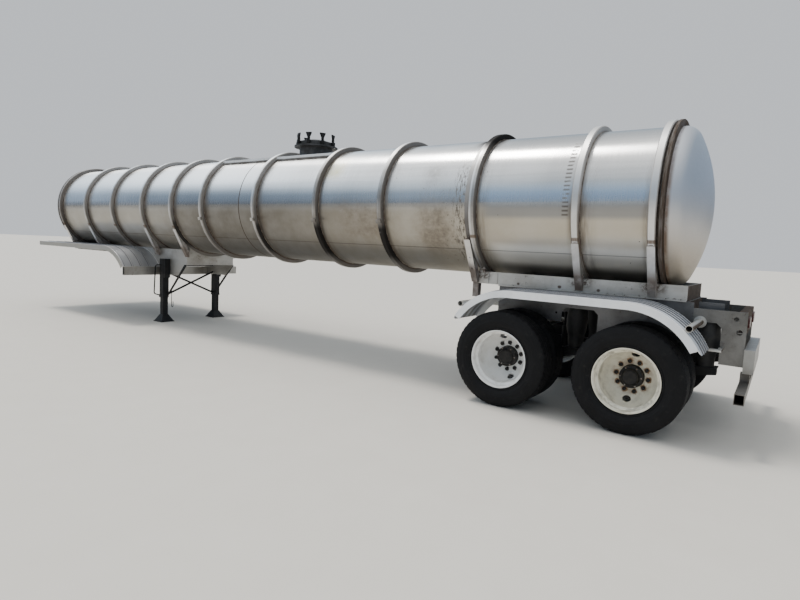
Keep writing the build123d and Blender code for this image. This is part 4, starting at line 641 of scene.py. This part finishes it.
def tyre_paint():
    p = Paint("tyre_rubber", 0.8, 0.0, 0.22)
    patch = p.noise(p.object, 7.0, 5.0, 0.65)
    fine = p.noise(p.object, 220.0, 3.0, 0.6)
    base = p.mix(p.span(patch, 0.35, 0.75), (0.0042, 0.0042, 0.0050), (0.0105, 0.0105, 0.0115))
    dust = p.times(p.span(p.noise(p.object, 22.0, 6.0, 0.7), 0.55, 0.75), 0.25)
    p.colour(p.mix(dust, base, (0.050, 0.046, 0.040)))
    p.rough(p.span(patch, 0.3, 0.8, 0.66, 0.84))
    p.bump(fine, 0.12, 0.001)
    return p.material


def bellows_paint():
    p = Paint("spring_rubber", 0.7, 0.0)
    patch = p.noise(p.object, 18.0, 5.0, 0.65)
    p.colour(p.mix(p.span(patch, 0.4, 0.75), (0.008, 0.008, 0.009), (0.030, 0.028, 0.025)))
    p.rough(p.span(patch, 0.3, 0.8, 0.55, 0.75))
    p.bump(patch, 0.1, 0.002)
    return p.material


def lamp_paint():
    p = Paint("lamp_red", 0.3, 0.0)
    grid = p.cells(p.object, 160.0, randomness=0.0)
    p.colour(p.mix(p.span(grid, 0.2, 0.8), (0.070, 0.006, 0.005), (0.030, 0.004, 0.004)))
    p.bump(grid, 0.2, 0.002)
    return p.material


def weld_paint():
    p = Paint("weld_bead", 0.55, 0.5)
    patch = p.noise(p.object, 16.0, 5.0, 0.65)
    p.colour(p.mix(p.span(patch, 0.35, 0.6), (0.30, 0.26, 0.21), (0.10, 0.065, 0.045)))
    p.rough(p.span(patch, 0.3, 0.8, 0.4, 0.7))
    p.bump(p.noise(p.object, 90.0, 2.0), 0.3, 0.002)
    return p.material


# A paint for each of the record's slots, then those of nodes that differ from their slot's

PAINTS = {
    "tank_shell": shell_paint(), "ring_steel": ring_paint(),
    "frame_steel": frame_paint("frame_stainless", (0.60, 0.60, 0.58), (0.42, 0.40, 0.37), 1.0),
    "dark_steel": dark_paint(), "hub_black": hub_paint(),
    "wing_sheet": wing_paint("wing_sheet", "fender_left", FENDER_RIBS, pale=BRIGHT_SHEET,
                             deep=(0.62, 0.65, 0.70), groove=0.9, groove_half=0.006, metal=0.1,
                             rim=BRIGHT_SHEET),
    "tyre_rubber": tyre_paint(), "spring_rubber": bellows_paint(), "lamp_red": lamp_paint(),
}
hatch = dark_paint("hatch_steel", 4.0)
head = head_paint()
bolt_steel = bolt_paint()
deck = wing_paint("front_wing_sheet", "front_wing_left", FRONT_WING_RIBS, pale=(0.60, 0.60, 0.61),
                  deep=(0.40, 0.405, 0.42), groove=0.6, groove_half=0.004, metal=0.7,
                  rim=(0.34, 0.335, 0.31))
legs_frame = frame_paint("front_frame_stainless", (0.46, 0.45, 0.43), (0.30, 0.285, 0.26), 0.0)
OWN_PAINTS = {
    "tank_head_front": head, "tank_head_rear": head,
    "ring_struts": strut_paint(), "overturn_rails": rail_paint(),
    "manway_neck": hatch, "manway_lid": hatch,
    "front_wing_left": deck, "front_wing_right": deck,
    "front_frame": legs_frame, "wing_beam": legs_frame,
    # Painted shade: darker copies of the frame paint for the suspension frame, the rear end plates, the bumper and
    # the guard, which stand in shadow
    "suspension_frame": frame_paint("frame_stainless_shaded", (0.20, 0.20, 0.205), grey(0.11), 1.0),
    "rear_end_frame": frame_paint("end_plate_stainless_shaded", (0.25, 0.245, 0.235), (0.14, 0.135, 0.125), 1.0),
    "bumper_beam": frame_paint("bumper_stainless_shaded", (0.40, 0.395, 0.38), (0.27, 0.255, 0.23), 0.0),
    "underride_guard": frame_paint("guard_stainless_shaded", (0.20, 0.19, 0.175), (0.11, 0.10, 0.09), 0.0),
}

# By axle: how worn the wheels are, the angle of their first stud in degrees, and the colour round the studs
WHEEL_LOOKS = {"front": (0.1, 15.0, (0.030, 0.026, 0.024)), "rear": (1.0, -6.0, (0.28, 0.125, 0.035))}
for _, axle, place, hand in WHEEL_SETS:
    age, degrees, stud_colour = WHEEL_LOOKS[place]
    turn = math.radians(degrees)
    OWN_PAINTS[f"wheel_discs_{place}_{hand}"] = wheel_paint(
        f"wheel_white_{place}_{hand}", age, (axle.x, axle.z), -turn if hand == "left" else turn, stud_colour)
for part in frame["record"]["subparts"]:
    node = NODES[part["node"]]
    node.data.materials.clear()
    node.data.materials.append(OWN_PAINTS.get(part["node"]) or PAINTS[part["material_slot"]])


# Added pieces

def piece(name, mesh, paint, body, place=(0.0, 0.0, 0.0)):
    mesh.materials.append(paint)
    made = add_object(name, mesh)
    made.location = place
    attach(made, body)


def smooth(mesh, degrees=35.0):
    for polygon in mesh.polygons:
        polygon.use_smooth = True
    mesh.set_sharp_from_angle(angle=math.radians(degrees))


def finished(name, made):
    bmesh.ops.recalc_face_normals(made, faces=made.faces)
    mesh = bpy.data.meshes.new(name)
    made.to_mesh(mesh)
    made.free()
    return mesh


def bevelled(mesh, width, sharp_angle=0.6):
    """Break the sharp edges of a mesh of plain blocks, and smooth what is left. The angle is in radians."""
    made = bmesh.new()
    made.from_mesh(mesh)
    sharp = [edge for edge in made.edges
             if len(edge.link_faces) == 2 and edge.calc_face_angle() > sharp_angle]
    bmesh.ops.bevel(made, geom=sharp, offset=width, segments=2, profile=0.6, affect="EDGES")
    made.to_mesh(mesh)
    made.free()
    smooth(mesh)


def bridge(made, low, high):
    """A band of four-sided faces between two closed rows of vertices."""
    for k in range(len(low)):
        n = (k + 1) % len(low)
        made.faces.new((low[k], low[n], high[n], high[k]))


# Tyres, with tread grooves, shoulder notches and sidewall steps. TYRE_STEPS go round a tyre, and LUG_STEPS of
# them to each lug of the tread

TYRE_STEPS = 288
LUG_STEPS = 6
TYRE_HALF = 0.135
GROOVES = (-0.066, -0.023, 0.023, 0.066)
GROOVE_HALF = 0.0045
GROOVE_DEPTH, GROOVE_LIP = 0.012, 0.0008
ZIGZAG = 0.0028
NOTCH_DEPTH = 0.0065

# A sidewall as (across, radius) from the bead outwards
WALL = (
    (0.103, 0.2865), (0.1035, 0.302), (0.112, 0.307), (0.1165, 0.314), (0.1165, 0.320), (0.113, 0.324),
    (0.1195, 0.336), (0.1275, 0.356), (0.1290, 0.359), (0.1285, 0.362), (0.1322, 0.375), (0.1348, 0.388),
    (0.1349, 0.395), (0.1335, 0.398), (0.1328, 0.412), (0.1312, 0.424), (0.1322, 0.426), (0.1305, 0.434),
    (0.1270, 0.449), (0.1225, 0.462), (0.1165, 0.474), (0.1125, 0.480),
)


def tyre_profile(outer):
    """One tyre's outline from bead to bead as (across, radius, moves with the zigzag, is on a shoulder)."""
    shoulder = [(0.1095, 0.4845), (0.1050, outer - 0.0065), (0.1005, outer - 0.0030)]
    right = [(w, r, 0.0, 0.0) for w, r in WALL] + [(w, r, 0.0, 1.0) for w, r in shoulder]
    tread = [(0.0955, outer - 0.0012, 0.0, 1.0), (0.088, outer - 0.0006, 0.4, 1.0)]
    for groove in sorted(GROOVES, reverse=True):
        for across, depth in ((1.35, 0.0), (1.0, GROOVE_LIP), (0.62, GROOVE_DEPTH), (-0.62, GROOVE_DEPTH),
                              (-1.0, GROOVE_LIP), (-1.35, 0.0)):
            tread.append((groove + across * GROOVE_HALF, outer - depth, 1.0, 0.0))
    tread += [(-0.088, outer - 0.0006, 0.4, 1.0), (-0.0955, outer - 0.0012, 0.0, 1.0)]
    left = [(-w, r, zig, edge) for w, r, zig, edge in reversed(right)]
    return right + tread + left


def tyre_mesh(name, centres, outer):
    profile = tyre_profile(outer)
    count = len(profile)
    verts, faces = [], []
    for centre in centres:
        first = len(verts)
        for step in range(TYRE_STEPS):
            turn = 2 * math.pi * step / TYRE_STEPS
            phase = step % LUG_STEPS
            zigzag = ZIGZAG * (1 - abs(phase - LUG_STEPS / 2) / (LUG_STEPS / 4))
            notch = NOTCH_DEPTH if phase == 0 else 0.0
            for across, radius, zig, edge in profile:
                r = radius - notch * edge
                verts.append((r * math.sin(turn), centre + across + zigzag * zig, r * math.cos(turn)))
        for step in range(TYRE_STEPS):
            here, there = first + step * count, first + (step + 1) % TYRE_STEPS * count
            for k in range(count):
                n = (k + 1) % count
                faces.append((here + k, here + n, there + n, there + k))
    mesh = bpy.data.meshes.new(name)
    mesh.from_pydata(verts, [], faces)
    smooth(mesh, 32.0)
    return mesh


# Bolts on the hubs' caps: how many, their circle, how far they sit behind the hub's end, their size and sides

CAP_BOLTS, CAP_CIRCLE, CAP_SETBACK = 6, 0.093, 0.038
BOLT_R, BOLT_HEIGHT, BOLT_SIDES = 0.0085, 0.006, 6


def cap_bolts(made, across, outboard):
    """Small bolts with a crowned head on a circle round an axle line. outboard is 1 on the left, -1 right."""
    for index in range(CAP_BOLTS):
        turn = 2 * math.pi * index / CAP_BOLTS
        centre = Vector((CAP_CIRCLE * math.cos(turn), 0.0, CAP_CIRCLE * math.sin(turn)))
        rows = []
        for reach, out in ((1.0, 0.0), (1.0, 0.75 * BOLT_HEIGHT), (0.78, BOLT_HEIGHT)):
            row = []
            for k in range(BOLT_SIDES):
                corner = 2 * math.pi * k / BOLT_SIDES
                row.append(made.verts.new((centre.x + BOLT_R * reach * math.cos(corner),
                                           across + outboard * out,
                                           centre.z + BOLT_R * reach * math.sin(corner))))
            rows.append(row)
        for low, high in zip(rows, rows[1:]):
            bridge(made, low, high)
        made.faces.new(rows[-1])


tyre_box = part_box("tires_rear_left")
axle = SPINS["wheels_rear_left"]
spacing = (tyre_box[1].y - axle.y) - TYRE_HALF
pair = tyre_mesh("tyre_pair", (-spacing, spacing), tyre_box[1].z - axle.z)
pair.materials.append(PAINTS["tyre_rubber"])
for body, axle, place, hand in WHEEL_SETS:
    tyres = add_object(f"tyres_detailed_{place}_{hand}", pair)
    tyres.location = axle
    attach(tyres, body)
    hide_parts(f"tires_{place}_{hand}")
    side = 1.0 if hand == "left" else -1.0
    caps = bmesh.new()
    hub_low, hub_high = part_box(f"hub_{place}_{hand}")
    hub_end = max(abs(hub_low.y), abs(hub_high.y))
    cap_bolts(caps, side * (hub_end - CAP_SETBACK), side)
    piece(f"hub_cap_bolts_{place}_{hand}", finished("hub_cap_bolts", caps), bolt_steel, body,
          (axle.x, 0.0, axle.z))

# Wing nuts of the manway's screws, round its lid. Heights are measured down from the screws' top, apart from
# the lug's, which is measured up from the lid's lower edge. Sizes are (along the radius, across it, up)

BOSS_DOWN, BOSS_HEIGHT, BOSS_FOOT_R, BOSS_TOP_R = 0.056, 0.090, 0.024, 0.014
LUG_UP, LUG_OUT, LUG_SIZE = 0.034, 0.004, (0.050, 0.046, 0.060)
WING_DOWN, WING_OUT, WING_LEAN, WING_SIZE = 0.038, 0.022, -0.42, (0.018, 0.026, 0.064)


def sized(size):
    return Matrix.Diagonal((*size, 1.0))


lid_low, lid_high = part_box("manway_lid")
clamps_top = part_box("manway_clamps")[1].z
manway_x = (lid_low.x + lid_high.x) / 2
nuts = bmesh.new()
for index in range(SCREWS):
    turn = math.radians(SCREW_FIRST + (SCREW_LAST - SCREW_FIRST) * index / (SCREWS - 1))
    screw = Matrix.Translation((manway_x + SCREW_CIRCLE * math.cos(turn), SCREW_CIRCLE * math.sin(turn), 0.0))
    screw = screw @ Matrix.Rotation(turn, 4, "Z")
    boss = Matrix.Translation((0.0, 0.0, clamps_top - BOSS_DOWN))
    bmesh.ops.create_cone(nuts, cap_ends=True, segments=16, radius1=BOSS_FOOT_R, radius2=BOSS_TOP_R,
                          depth=BOSS_HEIGHT, matrix=screw @ boss)
    lug = Matrix.Translation((LUG_OUT, 0.0, lid_low.z + LUG_UP)) @ sized(LUG_SIZE)
    bmesh.ops.create_cube(nuts, size=1.0, matrix=screw @ lug)
    for side in (-1.0, 1.0):
        wing = Matrix.Translation((0.0, side * WING_OUT, clamps_top - WING_DOWN))
        wing = wing @ Matrix.Rotation(side * WING_LEAN, 4, "X")
        bmesh.ops.create_cube(nuts, size=1.0, matrix=screw @ wing @ sized(WING_SIZE))
nut_mesh = finished("clamp_wing_nuts", nuts)
bevelled(nut_mesh, 0.003)
piece("clamp_wing_nuts", nut_mesh, PAINTS["dark_steel"], "chassis")

# Weld beads along both feet of each ring

BEAD_R, BEAD_SIDES, BEAD_STEPS = 0.005, 8, 160


def weld_hoop(made, x):
    """A weld bead round the tank, as a thin torus with a slightly uneven crown."""
    rows = []
    for step in range(BEAD_STEPS):
        turn = 2 * math.pi * step / BEAD_STEPS
        size = BEAD_R * (1.0 + 0.10 * math.sin(13.7 * turn) * math.sin(41.3 * turn))
        row = []
        for k in range(BEAD_SIDES):
            reach = TANK_R + size * math.sin(2 * math.pi * k / BEAD_SIDES)
            row.append(made.verts.new((x + size * math.cos(2 * math.pi * k / BEAD_SIDES),
                                       reach * math.sin(turn), TANK_Z + reach * math.cos(turn))))
        rows.append(row)
    for step in range(BEAD_STEPS):
        bridge(made, rows[step], rows[(step + 1) % BEAD_STEPS])


welds = bmesh.new()
for ring_x in RINGS_X:
    for foot in (-RING_FOOT_HALF, RING_FOOT_HALF):
        weld_hoop(welds, ring_x + foot)
weld_mesh = finished("ring_welds", welds)
smooth(weld_mesh)
piece("ring_welds", weld_mesh, weld_paint(), "chassis")


# Floor, backdrop and soft light

FLOOR_HALF = 150
BACKDROP = (0.70, 0.73, 0.77)

# The sky's colour by the sine of its height
SKY_STOPS = (
    (0.0, (0.26, 0.255, 0.24)), (0.05, (0.28, 0.30, 0.33)), (0.12, (0.29, 0.37, 0.49)),
    (0.30, (0.35, 0.46, 0.60)), (0.44, (0.50, 0.59, 0.68)), (0.62, (0.72, 0.78, 0.83)),
    (0.80, (1.02, 1.05, 1.07)), (1.0, (1.42, 1.43, 1.42)),
)
SKY_STRENGTH, SKY_STRENGTH_AHEAD = 1.08, 3.8

SUN_FROM, SUN_STRENGTH, SUN_DEGREES, SUN_COLOUR = (0.42, -0.06, 0.90), 2.6, 14.0, (1.0, 0.96, 0.90)


def floor():
    mesh = bpy.data.meshes.new("floor")
    corners = [(x * FLOOR_HALF, y * FLOOR_HALF, 0) for x, y in ((-1, -1), (1, -1), (1, 1), (-1, 1))]
    mesh.from_pydata(corners, [], [(0, 1, 2, 3)])
    plane = add_object("floor", mesh)
    p = Paint("floor_pale", 0.9)
    grit = p.noise(p.object, 3.0, 3.0)
    p.colour(p.mix(grit, (0.56, 0.53, 0.48), (0.60, 0.57, 0.52)))
    mesh.materials.append(p.material)


def sky():
    """Soft light from all round, strongest high up ahead. The camera sees a plain pale backdrop instead."""
    world = bpy.data.worlds.new("soft_sky")
    bpy.context.scene.world = world
    world.use_nodes = True
    tree = world.node_tree
    coords = tree.nodes.new("ShaderNodeTexCoord")
    split = tree.nodes.new("ShaderNodeSeparateXYZ")
    tree.links.new(coords.outputs["Generated"], split.inputs[0])
    ramp = tree.nodes.new("ShaderNodeValToRGB")
    tree.links.new(split.outputs["Z"], ramp.inputs[0])
    elements = ramp.color_ramp.elements
    own = len(elements)
    for index, (height, colour) in enumerate(SKY_STOPS):
        element = elements[index] if index < own else elements.new(height)
        element.position = height
        element.color = (*colour, 1.0)
    around = tree.nodes["Background"]
    tree.links.new(ramp.outputs[0], around.inputs["Color"])
    ahead = smooth_range(tree, split.outputs["X"], 0.35, 0.92, SKY_STRENGTH, SKY_STRENGTH_AHEAD)
    high_ahead = smooth_range(tree, split.outputs["Z"], 0.25, 0.60, SKY_STRENGTH, ahead)
    tree.links.new(high_ahead, around.inputs["Strength"])
    plain = tree.nodes.new("ShaderNodeBackground")
    put(tree, plain.inputs["Color"], BACKDROP)
    rays = tree.nodes.new("ShaderNodeLightPath")
    either = tree.nodes.new("ShaderNodeMixShader")
    tree.links.new(rays.outputs["Is Camera Ray"], either.inputs[0])
    tree.links.new(around.outputs[0], either.inputs[1])
    tree.links.new(plain.outputs[0], either.inputs[2])
    tree.links.new(either.outputs[0], tree.nodes["World Output"].inputs["Surface"])


def sun():
    lamp = add_object("key", bpy.data.lights.new("key", "SUN"))
    lamp.rotation_mode = "QUATERNION"
    lamp.rotation_quaternion = (-Vector(SUN_FROM)).to_track_quat("-Z", "Y")
    lamp.location = Vector(SUN_FROM) * 20.0
    lamp.data.energy = SUN_STRENGTH
    lamp.data.angle = math.radians(SUN_DEGREES)
    lamp.data.color = SUN_COLOUR


floor()
sky()
sun()
